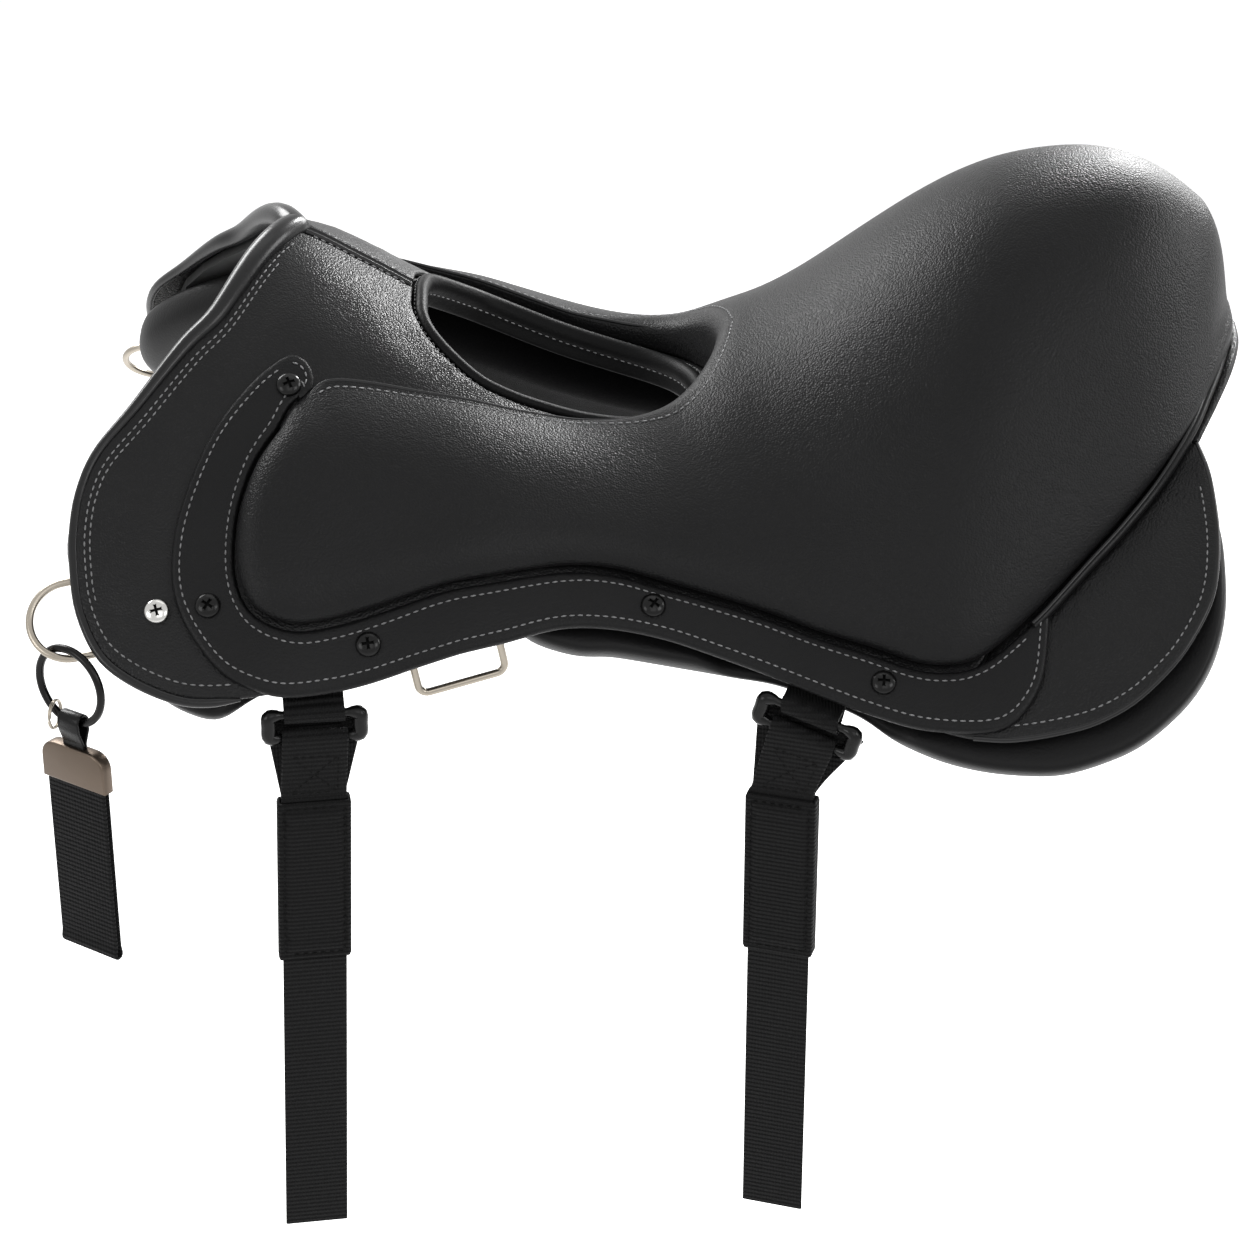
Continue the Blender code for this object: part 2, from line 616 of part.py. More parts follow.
def make_welts():
    """Roll over the pommel, which thins into the flaps' piping, and the piping behind the seat."""
    run = smooth_run([(-153.5, 0), *FRONT_EDGE[1:-1]], OUTLINE_STEP)
    halves = {}
    for side in (-1, 1):
        points, radii = [], []
        for index, (x, y) in enumerate(run):
            share = ease((0.085 - y) / 0.080)
            radius = PIPING + (POMMEL_ROLL - PIPING) * float(share)
            along, outward, up = edge_frame(run, index, side)
            if y == 0:
                outward = Vector((-1, 0, 0))
                outward = (outward - up * outward.dot(up)).normalized()
            points.append(place(x, y * side, LEATHER * 0.5) + outward * (radius + GAP))
            radii.append(radius)
        halves[side] = (points, radii)
    points = halves[-1][0][::-1] + halves[1][0][1:]
    radii = halves[-1][1][::-1] + halves[1][1][1:]
    wire("front_welt", points, radii, black("welt_leather", 0.02, 0.22), closed=False)

    run = smooth_run([(195, 139), (210, 127), (228, 114), (247, 98.5), (265, 77), (275, 60),
                      (284, 41), (291, 20), (292.5, 0)], OUTLINE_STEP)
    rows = [place(x, -y, BASE_HIGH + GAP + PIPING) for x, y in run]
    rows += [place(x, y, BASE_HIGH + GAP + PIPING) for x, y in run[::-1][1:]]
    wire("seat_welt", rows, PIPING, black("seat_piping", 0.02, 0.3), closed=False, sides=1)


def make_slot_lining():
    """Rolled leather lip that runs round the slot and down into it."""
    run = smooth_run(both_sides(SLOT), OUTLINE_STEP * 0.85, closed=True)
    run = for_side(run, 1)
    profile = [(1.6, -5.5), (1.6, 0.2), (0.6, 2.6), (-1.4, 3.2), (-3.4, 1.8), (-4.2, -2.0),
               (-4.2, -LIP_DEPTH / MM), (-2.4, -LIP_DEPTH / MM - 0.5)]
    lines = [inset(run, -a * MM) for a, d in profile]
    rings = []
    for index in range(len(run)):
        rings.append([place(*line[index], d * MM) for line, (a, d) in zip(lines, profile)])
    loft("slot_lining", rings, black("lining_leather", 0.014, 0.35), cyclic=True)


def make_rails():
    out = smooth_run(RAIL_OUT, OUTLINE_STEP)
    top = smooth_run(RAIL_TOP, OUTLINE_STEP * 0.6)
    inner = smooth_run(CUSHION_OUT, SEAT_STEP)
    outward = inset(np.vstack([inner, [[0.0, 0.0]]]), -0.0012)[1:-1]
    outward = outward[outward[:, 0] < 0.180]
    outward = np.vstack([top[:1], outward, out[-1:]])
    outline = join_runs(out, outward[::-1], top)
    for side, word in ((-1, "left"), (1, "right")):
        loop = for_side(outline, side)
        slab(f"rail_{word}", loop, screw_holes(side, RAIL_SCREWS, SHANK_RADIUS + FIT),
             LAYER_STEP, OVER_LOW, RAIL_HIGH, black(f"rail_leather_{word}", 0.02, 0.4))


def make_seat():
    """Foam cushion with its leather cover, open at the front on both sides of the slot."""
    out = smooth_run(CUSHION_OUT, SEAT_STEP)
    back = smooth_run(CUSHION_IN, SEAT_STEP)
    flip = np.array([1.0, -1.0])
    outer_line = np.vstack([out, (out[::-1] * flip)[1:]])
    inner_line = np.vstack([(back[::-1] * flip)[1:-1], back[:-1]])
    outline = for_side(np.vstack([outer_line, inner_line]), 1)

    def thickness(point, cover):
        x = point[0]
        point = np.array([point])
        from_out = float(distance_to(outer_line, point, closed=False)[0])
        from_in = float(distance_to(inner_line, point, closed=False)[0])
        reach = 0.011 + 0.011 * float(ease((x + 0.085) / 0.05))
        roll = float(np.interp(from_out, (0.0, 0.0045, 0.0125), (0.0, 0.76, 1.0)))
        slope = math.sqrt(max(0.0, 1 - (1 - min(from_in / reach, 1)) ** 2))
        crown = CROWN * min(from_out, from_in, 0.030) / 0.030
        edge = 0.0055
        return OVER_LOW + edge + (CUSHION_THICK - edge) * roll * slope + crown - cover

    def rise(x, y):
        share = max(0.0, 1 - (abs(y) / float(seat_half(x))) ** 2.5)
        return float(seat_rise(x)) * share ** 1.5

    def skin(cover, sink=0.0):
        def point(x, y, read=None):
            read = read or (x, y)
            return place(x, y, thickness(read, cover), rise(*read) * (1 - sink))
        return point

    def bottom(x, y, read=None):
        return place(x, y, OVER_LOW)

    def foam_bottom(x, y, read=None):
        return place(x, y, OVER_LOW + 0.0020)

    rows = [inset(outline, 0.0045), inset(outline, 0.0125)[::2]]
    rows = [row[inside(outline, row) & (distance_to(outline, row) > gap)]
            for row, gap in zip(rows, (0.0035, 0.0100))]
    shell("seat_cover", outline, COVER_THICK, (SEAT_STEP, CORE_STEP), bottom, skin(0.0),
          skin(COVER_THICK), black("seat_leather", 0.02, 0.4), extra=rows)
    core("seat_foam", outline, COVER_THICK, CORE_STEP, foam_bottom, skin(COVER_THICK + GAP, FOAM_SINK),
         material("seat_foam", (0.55, 0.5, 0.35), 0.9))


def panel_roof(x, y, side, margin=0.0):
    """Top of a panel, lower where the webbing and the ring chapes pass over it."""
    spots = [(-0.232, 0.155, 0.027), (-0.139, 0.168, 0.034), (0.082, 0.160, 0.036)]
    dip = 0.0
    for spot_x, spot_y, reach in spots:
        away = math.hypot(x - spot_x, y * side - spot_y)
        dip = max(dip, float(ease((reach + margin + 0.014 - away) / 0.014)))
    return PANEL_HIGH - 0.0062 * dip


def make_panels():
    """Flocked pads under the tree, one for each side of the spine."""
    for side, word in ((-1, "left"), (1, "right")):
        outline = for_side(smooth_run(PANEL_EDGE, OUTLINE_STEP, closed=True), side)

        def depth(point, cover):
            away = float(distance_to(outline, np.array([point]))[0])
            roll = float(np.interp(away, (0.0, 0.008, 0.020), (0.0, 0.8, 1.0)))
            edge = 0.0100
            full = PANEL_THICK - edge - CROWN
            swell = CROWN * min(away, 0.040) / 0.040
            return PANEL_HIGH - edge - full * roll - swell + cover

        def skin(cover):
            return lambda x, y, read=None: place(x, y, depth(read or (x, y), cover))

        def rim(x, y):
            return place(x, y, panel_roof(x, y, side))

        def foam_top(x, y, read):
            return place(x, y, panel_roof(*read, side, CORE_STEP * 0.6) - 0.0008)

        rows = inset(outline, 0.0080)[::2]
        rows = [rows[distance_to(outline, rows) > 0.006]]
        shell(f"panel_cover_{word}", outline, COVER_THICK, (LAYER_STEP, CORE_STEP), rim, skin(0.0),
              skin(COVER_THICK), black(f"panel_leather_{word}", 0.016, 0.5), extra=rows)
        core(f"panel_foam_{word}", outline, COVER_THICK, CORE_STEP, skin(COVER_THICK + 3 * GAP),
             foam_top, material(f"panel_flock_{word}", (0.6, 0.58, 0.5), 0.9))


def screw_body(x, y, profile, sides=10):
    """Turned piece on the surface's normal; profile holds radius and depth pairs."""
    foot = place(x, y, 0.0)
    up = normal(x, y)
    across = up.cross(Vector((0, 1, 0))).normalized()
    other = up.cross(across)
    rings = []
    for radius, depth in profile:
        ring = []
        for i in range(sides):
            turn = 2 * math.pi * i / sides
            ring.append(foot + up * depth + (across * math.cos(turn) + other * math.sin(turn)) * radius)
        rings.append(ring)
    return rings


def make_screws():
    shank = [(SHANK_RADIUS, TREE_LOW + 0.0004)]
    head = RAIL_HIGH + FIT
    dome = shank + [(SHANK_RADIUS, head), (HEAD_RADIUS, head), (HEAD_RADIUS, head + 0.0010),
                    (HEAD_RADIUS * 0.80, head + HEAD_HEIGHT * 0.8), (HEAD_RADIUS * 0.40, head + HEAD_HEIGHT)]
    seat = BASE_HIGH + FIT
    disc = shank + [(SHANK_RADIUS, seat), (DISC_RADIUS, seat), (DISC_RADIUS, seat + 0.0012),
                    (DISC_RADIUS * 0.7, seat + DISC_HEIGHT)]
    for side, word in ((-1, "left"), (1, "right")):
        for number, (x, y) in enumerate(RAIL_SCREWS, 1):
            loft(f"rail_screw_{word}_{number}", screw_body(x * MM, side * y * MM, dome),
                 black(f"screw_black_{word}_{number}", 0.01, 0.25))
        x, y = POINT_SCREW
        loft(f"point_screw_{word}", screw_body(x * MM, side * y * MM, disc),
             material(f"screw_chrome_{word}", (0.8, 0.8, 0.8), 0.15, 1.0))


def ring_points(centre, across, up, radius, count):
    return [centre + across * (radius * math.cos(t)) + up * (radius * math.sin(t))
            for t in np.arange(count) * 2 * math.pi / count]


def dee_frame(side):
    """Centre of a dee's straight bar, its direction down the flap's edge and its reach."""
    x, y = DEE_BAR[0] * MM, DEE_BAR[1] * MM * side
    centre = place(x, y, -DEE_DEPTH)
    upper = place(-0.2465, 0.138 * side, 0.0)
    lower = place(-0.2370, 0.166 * side, 0.0)
    down = (lower - upper).normalized()
    up = normal(x, y)
    forward = down.cross(up).normalized()
    if forward.x > 0:
        forward = -forward
    return centre, down, forward


def make_dees(nickel):
    for side, word in ((-1, "left"), (1, "right")):
        centre, down, forward = dee_frame(side)
        half, leg = DEE_LENGTH / 2 - DEE_WIRE, DEE_REACH - DEE_LENGTH / 2
        path = [(half * t, 0.0) for t in (-0.85, -0.28, 0.28, 0.85)] + [(half * 0.97, 0.0012), (half, 0.0040)]
        path += [(half * math.sin(t), leg + half * math.cos(t)) for t in np.radians(np.linspace(90, -90, 13))]
        path += [(-half, 0.0040), (-half * 0.97, 0.0012)]
        points = [centre + down * d + forward * f for d, f in path]
        dee = wire(f"dee_{word}", points, DEE_WIRE, nickel, closed=True)
        set_origin(dee, centre)
        make_dee_chape(side, word, centre, down, forward)


def make_dee_chape(side, word, centre, down, forward):
    """Leather strap folded round the dee's bar, its ends under the flap."""
    up = normal(centre.x, centre.y)
    back = (down.cross(up)).normalized()
    if back.x < 0:
        back = -back
    middle = DEE_WIRE + FIT + LOOP_THICK / 2
    drop = (GAP - DEE_DEPTH) + 0.0039
    path = [(0.0190, drop - 0.0044), (0.0120, drop - 0.0028), (0.0050, middle * 0.55)]
    path += arc((0, 0), middle, 75, 285, 9)
    path += [(0.0050, -middle * 1.25), (0.0120, drop - 0.0056), (0.0190, drop - 0.0070)]
    profile = band(path, LOOP_THICK)
    rings = [[centre + down * half + back * b + up * h for b, h in profile] for half in (-0.010, 0.004)]
    webbing(f"dee_chape_{word}", rings, black(f"chape_leather_{word}", 0.018, 0.45))


def lowest_of_dee(side):
    """Lowest point of the bow's wire and the wire's direction there."""
    centre, down, forward = dee_frame(side)
    half, leg = DEE_LENGTH / 2 - DEE_WIRE, DEE_REACH - DEE_LENGTH / 2
    turn = math.atan2(-down.z, -forward.z)
    point = centre + forward * leg + (down * math.sin(turn) + forward * math.cos(turn)) * half
    along = down * math.cos(turn) - forward * math.sin(turn)
    return point, along.normalized()


def make_tag(nickel, dark_ring):
    """Key ring, leather loop, metal clamp and folded webbing tag on the near dee."""
    hang, along = lowest_of_dee(-1)
    across = Vector((math.cos(RING_TURN), -math.sin(RING_TURN), 0))
    outward = Vector((-math.sin(RING_TURN), -math.cos(RING_TURN), 0))
    up = Vector((0, 0, 1))
    lift = DEE_WIRE + RING_WIRE + 3 * FIT
    centre = hang + up * (lift - RING_RADIUS)
    ring = wire("o_ring", ring_points(centre, across, up, RING_RADIUS, 26), RING_WIRE, dark_ring, closed=True)
    set_origin(ring, hang)

    pivot = centre - up * RING_RADIUS
    frame = Frame(pivot, across, outward)
    middle = RING_WIRE + LOOP_SLACK + LOOP_THICK / 2
    low = -CLAMP_TOP - 0.0045
    ply = 0.5 * LOOP_THICK + 0.0002
    path = [(ply, low), (ply, -0.0095), (middle * 0.95, -0.0030)]
    path += arc((0, 0.0012), middle, 0, 180, 9)
    path += [(-middle * 0.95, -0.0030), (-ply, -0.0095), (-ply, low)]
    loop = webbing("tag_loop", strip_rings(frame, band(path, LOOP_THICK), LOOP_WIDTH),
                   black("loop_leather", 0.018, 0.4))
    set_origin(loop, pivot)

    half, wall = CLAMP_WIDTH / 2, CLAMP_WALL
    depth = 0.0034
    levels = [(0.0, 0.62), (-0.0016, 0.80), (-0.0042, 0.93), (-0.0075, 1.0), (-CLAMP_HEIGHT, 1.0)]
    outer, inner = [], []
    for drop, share in levels:
        z = -CLAMP_TOP + drop
        outer.append(clamp_ring(frame, half * share, depth, z))
        inner.append(clamp_ring(frame, half * share - wall, depth - wall, z, 0.0002))
    clamp = loft("tag_clamp", outer + inner[::-1], material("clamp_nickel", (0.35, 0.32, 0.3), 0.3, 1.0),
                 cyclic=True, smooth=False)
    set_origin(clamp, pivot)

    ply = 0.0012
    top = -CLAMP_TOP - 0.0085
    path = [(ply, top), (ply, -TAG_LENGTH + 0.006), (0.0019, -TAG_LENGTH + 0.0025)]
    path += arc((0, -TAG_LENGTH + 0.0020), 0.0019, -20, -160, 6)
    path += [(-0.0019, -TAG_LENGTH + 0.0025), (-ply, -TAG_LENGTH + 0.006), (-ply, top)]
    strap = webbing("tag_strap", strip_rings(frame, band(path, WEB_THICK), TAG_WIDTH - 0.0010),
                    black("tag_webbing", 0.012, 0.8))
    set_origin(strap, pivot)

    climb = RING_RADIUS - math.sqrt(RING_RADIUS ** 2 - SPLIT_PLACE ** 2)
    held = pivot - across * SPLIT_PLACE + up * climb
    tall = RING_WIRE / math.sqrt(1 - (SPLIT_PLACE / RING_RADIUS) ** 2)
    hoop = held - up * (SPLIT_RADIUS - tall - SPLIT_WIRE - 0.0007)
    side_way = (across * math.sin(math.radians(20)) + outward * math.cos(math.radians(20))).normalized()
    split = wire("split_ring", ring_points(hoop, side_way, up, SPLIT_RADIUS, 18), SPLIT_WIRE, nickel,
                 closed=True, sides=1)
    set_origin(split, held)


def clamp_ring(frame, half, depth, z, cut=0.0008):
    """Rectangle with small chamfered corners round the clamp at one height."""
    corners = [(half - cut, depth), (half, depth - cut), (half, -depth + cut), (half - cut, -depth),
               (-half + cut, -depth), (-half, -depth + cut), (-half, depth - cut), (-half + cut, depth)]
    return [frame.at(u, v, z) for u, v in corners]


def bar_frame(first, second):
    """Frame at the middle of a bar whose ends are given, with u level and v outward."""
    middle = (first + second) / 2
    way = second - first
    level = Vector((way.x, way.y, 0)).normalized()
    outward = Vector((0, math.copysign(1, middle.y), 0))
    outward = (outward - level * outward.dot(level)).normalized()
    return Frame(middle, level, outward), way.normalized(), way.length


def make_stirrup_rings(nickel):
    """Rectangular rings under the waist, each held by two webbing tabs."""
    for side, word in ((-1, "left"), (1, "right")):
        ends = [place(x * MM, y * MM * side, -STIRRUP_DEPTH) for x, y in STIRRUP_BAR]
        frame, axis, length = bar_frame(*ends)
        down = (Vector((0, 0, -1)) - axis * -axis.z).normalized()
        half = length / 2 - STIRRUP_WIRE
        corner = 0.0045
        path = []
        turns = ((half - corner, corner, -90, 0), (half - corner, STIRRUP_DROP - corner, 0, 90),
                 (-half + corner, STIRRUP_DROP - corner, 90, 180), (-half + corner, corner, 180, 270))
        for u, w, start, end in turns:
            path += arc((u, w), corner, start, end, 5)
        points = [frame.point + axis * u + down * w for u, w in path]
        ring = wire(f"stirrup_ring_{word}", points, STIRRUP_WIRE, nickel, closed=True)
        set_origin(ring, frame.point)
        make_stirrup_tab(side, word, frame.point, axis, down, half)


def make_stirrup_tab(side, word, point, axis, down, half):
    """Two tongues folded round the ring's upper bar, joined by one strip under the tree."""
    middle = STIRRUP_WIRE + FIT + LOOP_THICK / 2
    back = axis.cross(down).normalized()
    if back.y * side > 0:
        back = -back
    path = [(0.0125, 0.0098), (0.0085, 0.0066), (0.0048, 0.0044)]
    path += arc((0, 0), middle, 60, -215, 12)
    path += [(0.0015, 0.0048), (0.0085, 0.0102)]
    shade = black(f"tab_webbing_{word}", 0.012, 0.7)
    pieces = []
    for number, middle_u in enumerate((-half + 0.0090, half - 0.0090)):
        rings = [[point + axis * (middle_u + u) + back * v - down * z for v, z in band(path, LOOP_THICK)]
                 for u in (-TAB_WIDTH / 2, TAB_WIDTH / 2)]
        pieces.append(webbing(f"tab_tongue_{word}_{number}", rings, shade))
    strip = band([(0.0078, 0.0078), (0.0122, 0.0110)], 0.0024)
    rings = [[point + axis * u + back * v - down * z for v, z in strip] for u in (-half + 0.006, half - 0.006)]
    tab = loft(f"stirrup_tab_{word}", rings, shade, smooth=False)
    for piece in pieces:
        piece.hide_render = True
        piece.display_type = "WIRE"
        union = tab.modifiers.new(piece.name, "BOOLEAN")
        union.operation = "UNION"
        union.object = piece


def make_girth(where, shape, side, word):
    """Chape, buckle, folded webbing, sewn sleeve and hanging strap of one girth point."""
    lift = Vector((0, side * shape["outward"], -shape["down"]))
    ends = [place(x * MM, y * MM * side, -CHAPE_DEPTH) + lift for x, y in shape["ends"]]
    frame, axis, length = bar_frame(*ends)
    down = (Vector((0, 0, -1)) - axis * -axis.z).normalized()
    climb = axis.z / math.hypot(axis.x, axis.y)
    half = length / 2
    height = BUCKLE_HEIGHT
    slim, fat = BUCKLE_BAR, BUCKLE_BOSS
    loop = [(-0.42 * half, 0, slim), (0, 0, slim), (0.42 * half, 0, slim), (0.76 * half, 0, slim),
            (0.86 * half, 0, fat * 0.85), (half, height * 0.10, fat), (half, height * 0.5, fat),
            (half, height * 0.90, fat), (0.86 * half, height, fat * 0.85), (0.76 * half, height, slim),
            (0.42 * half, height, slim), (0, height, slim), (-0.42 * half, height, slim),
            (-0.76 * half, height, slim), (-0.86 * half, height, fat * 0.85), (-half, height * 0.90, fat),
            (-half, height * 0.5, fat), (-half, height * 0.10, fat), (-0.86 * half, 0, fat * 0.85),
            (-0.76 * half, 0, slim)]
    points = [frame.point + axis * u + down * w for u, w, r in loop]
    buckle = wire(f"girth_buckle_{where}_{word}", points, [r for u, w, r in loop],
                  black(f"buckle_black_{where}_{word}", 0.012, 0.3), closed=True, sides=1)
    set_origin(buckle, frame.point)

    middle = BUCKLE_BAR + FIT + WEB_THICK / 2
    floor = (STRAP_END if side < 0 else OFF_STRAP_END) - frame.point.z
    sewn = -SLEEVE_TOP + 0.012
    ply = WEB_THICK / 2 + 0.0002
    drop = -down.z * height
    bare = 0.007 - SLEEVE_TOP - SLEEVE_LENGTH
    path = [(ply - BARE_STEP, floor), (ply - BARE_STEP, bare), (ply, bare + 0.010), (ply, sewn),
            (middle * 0.97, -drop - 0.003)]
    path += arc((0, -drop), middle, 8, 172, 9)
    path += [(-middle * 0.97, -drop - 0.003), (-ply, sewn), (-ply, sewn - 0.028)]
    third = -ply - WEB_THICK - 0.0004
    path += arc(((third - ply) / 2, sewn - 0.0285), (-ply - third) / 2, -20, -160, 5)
    far = -middle - WEB_THICK - 0.0006
    path += [(third, sewn - 0.028), (third, sewn), (far, -drop), (far, -0.0052)]
    width = WEB_WIDTH - 0.0005
    widths = [width] * (len(path) - 2) + [length * 1.04, length * 1.16]

    def lean(z):
        return climb * float(ease((z - sewn) / (-drop - sewn)))

    def drift(z):
        return -climb * max(z, sewn) + shape["slant"] * min(z + drop, 0.0)

    strap = webbing(f"girth_strap_{where}_{word}",
                    strip_rings(frame, band(path, WEB_THICK), widths + widths[::-1], lean, drift),
                    black(f"webbing_{where}_{word}", 0.012, 0.75))
    set_origin(strap, frame.point)

    outer_u, outer_v = WEB_WIDTH / 2 + FIT + SLEEVE_WALL, WEB_THICK + 0.0002 + FIT + SLEEVE_WALL
    back_v = outer_v + WEB_THICK + 0.0004
    inner_u, inner_v, inner_back = outer_u - SLEEVE_WALL, outer_v - SLEEVE_WALL, back_v - SLEEVE_WALL
    levels = (-SLEEVE_TOP + 0.010, -SLEEVE_TOP - SLEEVE_LENGTH + 0.010)
    rings = []
    for u, v, b, order in ((outer_u, outer_v, back_v, 1), (inner_u, inner_v, inner_back, -1)):
        for z in levels[::order]:
            aside = drift(z)
            rings.append([frame.at(aside + u, v, z), frame.at(aside + u, -b, z),
                          frame.at(aside - u, -b, z), frame.at(aside - u, v, z)])
    sleeve = loft(f"girth_sleeve_{where}_{word}", rings, black(f"sleeve_{where}_{word}", 0.012, 0.85),
                  cyclic=True, smooth=False)
    set_origin(sleeve, frame.point)
    make_girth_chape(where, shape, word, frame, axis)


def make_girth_chape(where, shape, word, frame, axis):
    """Webbing from between tree and panel, folded round the buckle's upper bar."""
    middle = BUCKLE_BAR + FIT + WEB_THICK / 2
    half = WEB_WIDTH / 2 - 0.0015
    rings = []
    outward = frame.v
    for u in np.linspace(-half, half, 3):
        bar = frame.point + axis * float(u)
        starts = [bar - outward * (shape["outward"] + back) for back in (0.024, 0.010, -0.004)]
        root = [place(start.x, start.y, -CHAPE_DEPTH) for start in starts]
        flat = [Vector((p - bar)).dot(outward) for p in root]
        high = [p.z - bar.z for p in root]
        line = list(zip(flat, high))
        tip = math.degrees(math.atan2(high[-1], flat[-1]))
        ply = WEB_THICK / 2 + 0.0001
        way = np.gradient(np.array(line), axis=0)
        way /= np.linalg.norm(way, axis=1)[:, None]
        across = np.stack([-way[:, 1], way[:, 0]], axis=1)
        upper = [tuple(p) for p in np.array(line) + across * ply]
        lower = [tuple(p) for p in np.array(line) - across * ply]
        turn = arc((0, 0), middle, tip - 45, tip - 315, 9)
        profile = band(upper + turn + lower[::-1], WEB_THICK)
        rings.append([bar + outward * v + Vector((0, 0, z)) for v, z in profile])
    webbing(f"girth_chape_{where}_{word}", rings, black(f"chape_web_{where}_{word}", 0.012, 0.75))


def main():
    clear_scene()
    nickel = material("nickel", (0.62, 0.58, 0.53), 0.22, 1.0)
    dark_ring = material("ring_black", (0.03, 0.03, 0.03), 0.25, 0.6)
    make_tree()
    make_gullet_plate()
    make_base_leather()
    make_welts()
    make_slot_lining()
    make_rails()
    make_seat()
    make_panels()
    make_screws()
    make_dees(nickel)
    make_tag(nickel, dark_ring)
    make_stirrup_rings(nickel)
    for side, word in ((-1, "left"), (1, "right")):
        make_girth("front", GIRTH_FRONT, side, word)
        make_girth("rear", GIRTH_REAR, side, word)


main()
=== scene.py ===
# %% [markdown]
# # An endurance saddle in black leather
#
# The imported model gives the rigid frame: every node already sits where it belongs, in
# metres. This lesson dresses it. We lay leather on the saddle's ground surface, pad the
# seat, sew it, hang the webbing and light it like a catalogue photograph.
# We load the frame first.

# %% load the frame
import math

import bmesh
import bpy
import numpy as np
from mathutils import Matrix, Vector
from mathutils.bvhtree import BVHTree


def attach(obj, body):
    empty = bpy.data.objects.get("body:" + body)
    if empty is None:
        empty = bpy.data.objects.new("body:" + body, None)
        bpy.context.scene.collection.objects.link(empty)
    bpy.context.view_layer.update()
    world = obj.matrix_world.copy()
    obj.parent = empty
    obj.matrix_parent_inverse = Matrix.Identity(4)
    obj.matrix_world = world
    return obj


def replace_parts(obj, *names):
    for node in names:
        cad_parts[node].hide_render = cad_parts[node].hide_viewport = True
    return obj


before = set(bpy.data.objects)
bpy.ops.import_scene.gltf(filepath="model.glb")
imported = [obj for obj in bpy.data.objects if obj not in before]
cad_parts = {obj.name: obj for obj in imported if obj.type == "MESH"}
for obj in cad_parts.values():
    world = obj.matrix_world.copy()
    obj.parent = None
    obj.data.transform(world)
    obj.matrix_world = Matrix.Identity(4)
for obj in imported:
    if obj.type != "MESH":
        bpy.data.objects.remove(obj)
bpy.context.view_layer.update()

MM = 0.001
SIDES = ((-1, "left"), (1, "right"))
MIRROR = {-1: np.array([1.0, -1.0]), 1: np.array([1.0, 1.0])}
UP = np.array([0.0, 0.0, 1.0])
print("nodes in the frame:", len(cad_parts))

# %% [markdown]
# ## The camera
# The photograph looks at the near side from a little above. A long lens keeps the two
# ends of the saddle equally large. We place the camera by its target, height angle and
# distance, because these three are easy to read from a picture.

# %% camera
HEIGHT_ANGLE = math.radians(26.5)
DISTANCE = 1.62
TARGET = Vector((0.0, 0.0, -0.110))
eye = bpy.data.cameras.new("eye")
eye.lens = 93.0
eye.sensor_width = 36.0
camera = bpy.data.objects.new("camera", eye)
camera.location = TARGET + DISTANCE * Vector((0, -math.cos(HEIGHT_ANGLE), math.sin(HEIGHT_ANGLE)))
camera.rotation_euler = (math.radians(90) - HEIGHT_ANGLE, 0, 0)
bpy.context.scene.collection.objects.link(camera)
bpy.context.scene.camera = camera
print("camera at", [round(c, 3) for c in camera.location])

# %% [markdown]
# ## The ground surface
# A saddle is built up in layers on a tree. All layers follow one surface: a ridge line
# from pommel to cantle, from which the flaps fall away on both sides. If we know its
# height at any plan position, we can draw each piece flat, as the saddler cuts it, and
# then lay it on the tree. We repeat the surface that the frame was built on.

# %% stations of the ridge and the flaps, in millimetres
RIDGE = [(-260, 106), (-200, 104), (-154, 98), (-125, 83), (-93, 65), (-60, 49), (-30, 36),
         (0, 26), (33, 18), (100, 8), (178, 14), (250, 36), (300, 55)]
DROP = [(-260, 150), (-142, 147), (-60, 112), (0, 98), (60, 90), (120, 85), (260, 89), (300, 90)]
SEAT_RISE = [(-30, 0), (0, 1), (20, 6), (45, 21), (60, 29), (80, 43), (100, 58), (120, 72),
             (140, 84), (160, 93), (180, 98), (200, 98), (220, 94), (240, 85), (255, 74),
             (265, 65), (272, 57.5), (278, 49.5), (282, 41.5), (286, 29), (289, 12), (290, 0)]
SEAT_HALF = [(-180, 150), (-30, 131), (39, 134), (85, 143), (130, 156), (150, 158), (168, 152),
             (190, 138), (208, 125), (226, 112), (244, 97), (261, 76), (271, 59), (280, 41),
             (286, 24), (290, 8)]


def station_curve(stations):
    """Smooth curve through stations along x, read in metres."""
    xs = np.array([s[0] for s in stations]) * MM
    values = np.array([s[1] for s in stations]) * MM
    slopes = np.gradient(values, xs)

    def curve(x):
        x = np.clip(x, xs[0], xs[-1])
        i = np.clip(np.searchsorted(xs, x) - 1, 0, len(xs) - 2)
        width = xs[i + 1] - xs[i]
        t = (x - xs[i]) / width
        start = (2 * t ** 3 - 3 * t ** 2 + 1) * values[i] + (t ** 3 - 2 * t ** 2 + t) * width * slopes[i]
        end = (3 * t ** 2 - 2 * t ** 3) * values[i + 1] + (t ** 3 - t ** 2) * width * slopes[i + 1]
        return start + end

    return curve


ridge_height, flap_drop = station_curve(RIDGE), station_curve(DROP)
seat_rise, seat_half = station_curve(SEAT_RISE), station_curve(SEAT_HALF)


# %% heights and normals of the ground
POMMEL_END, POMMEL_FADE = -0.070, 0.120
FLAP_REACH, RIDGE_ROUND, ROOF_SLOPE = 0.180, 0.060, 1.2
SLOPE_STEP = 0.0002


def ease(t):
    """Smooth step from 0 to 1."""
    t = np.clip(t, 0.0, 1.0)
    return t * t * (3 - 2 * t)


def unit(vectors):
    """One vector, or rows of them, at length one."""
    return vectors / np.linalg.norm(vectors, axis=-1, keepdims=True)


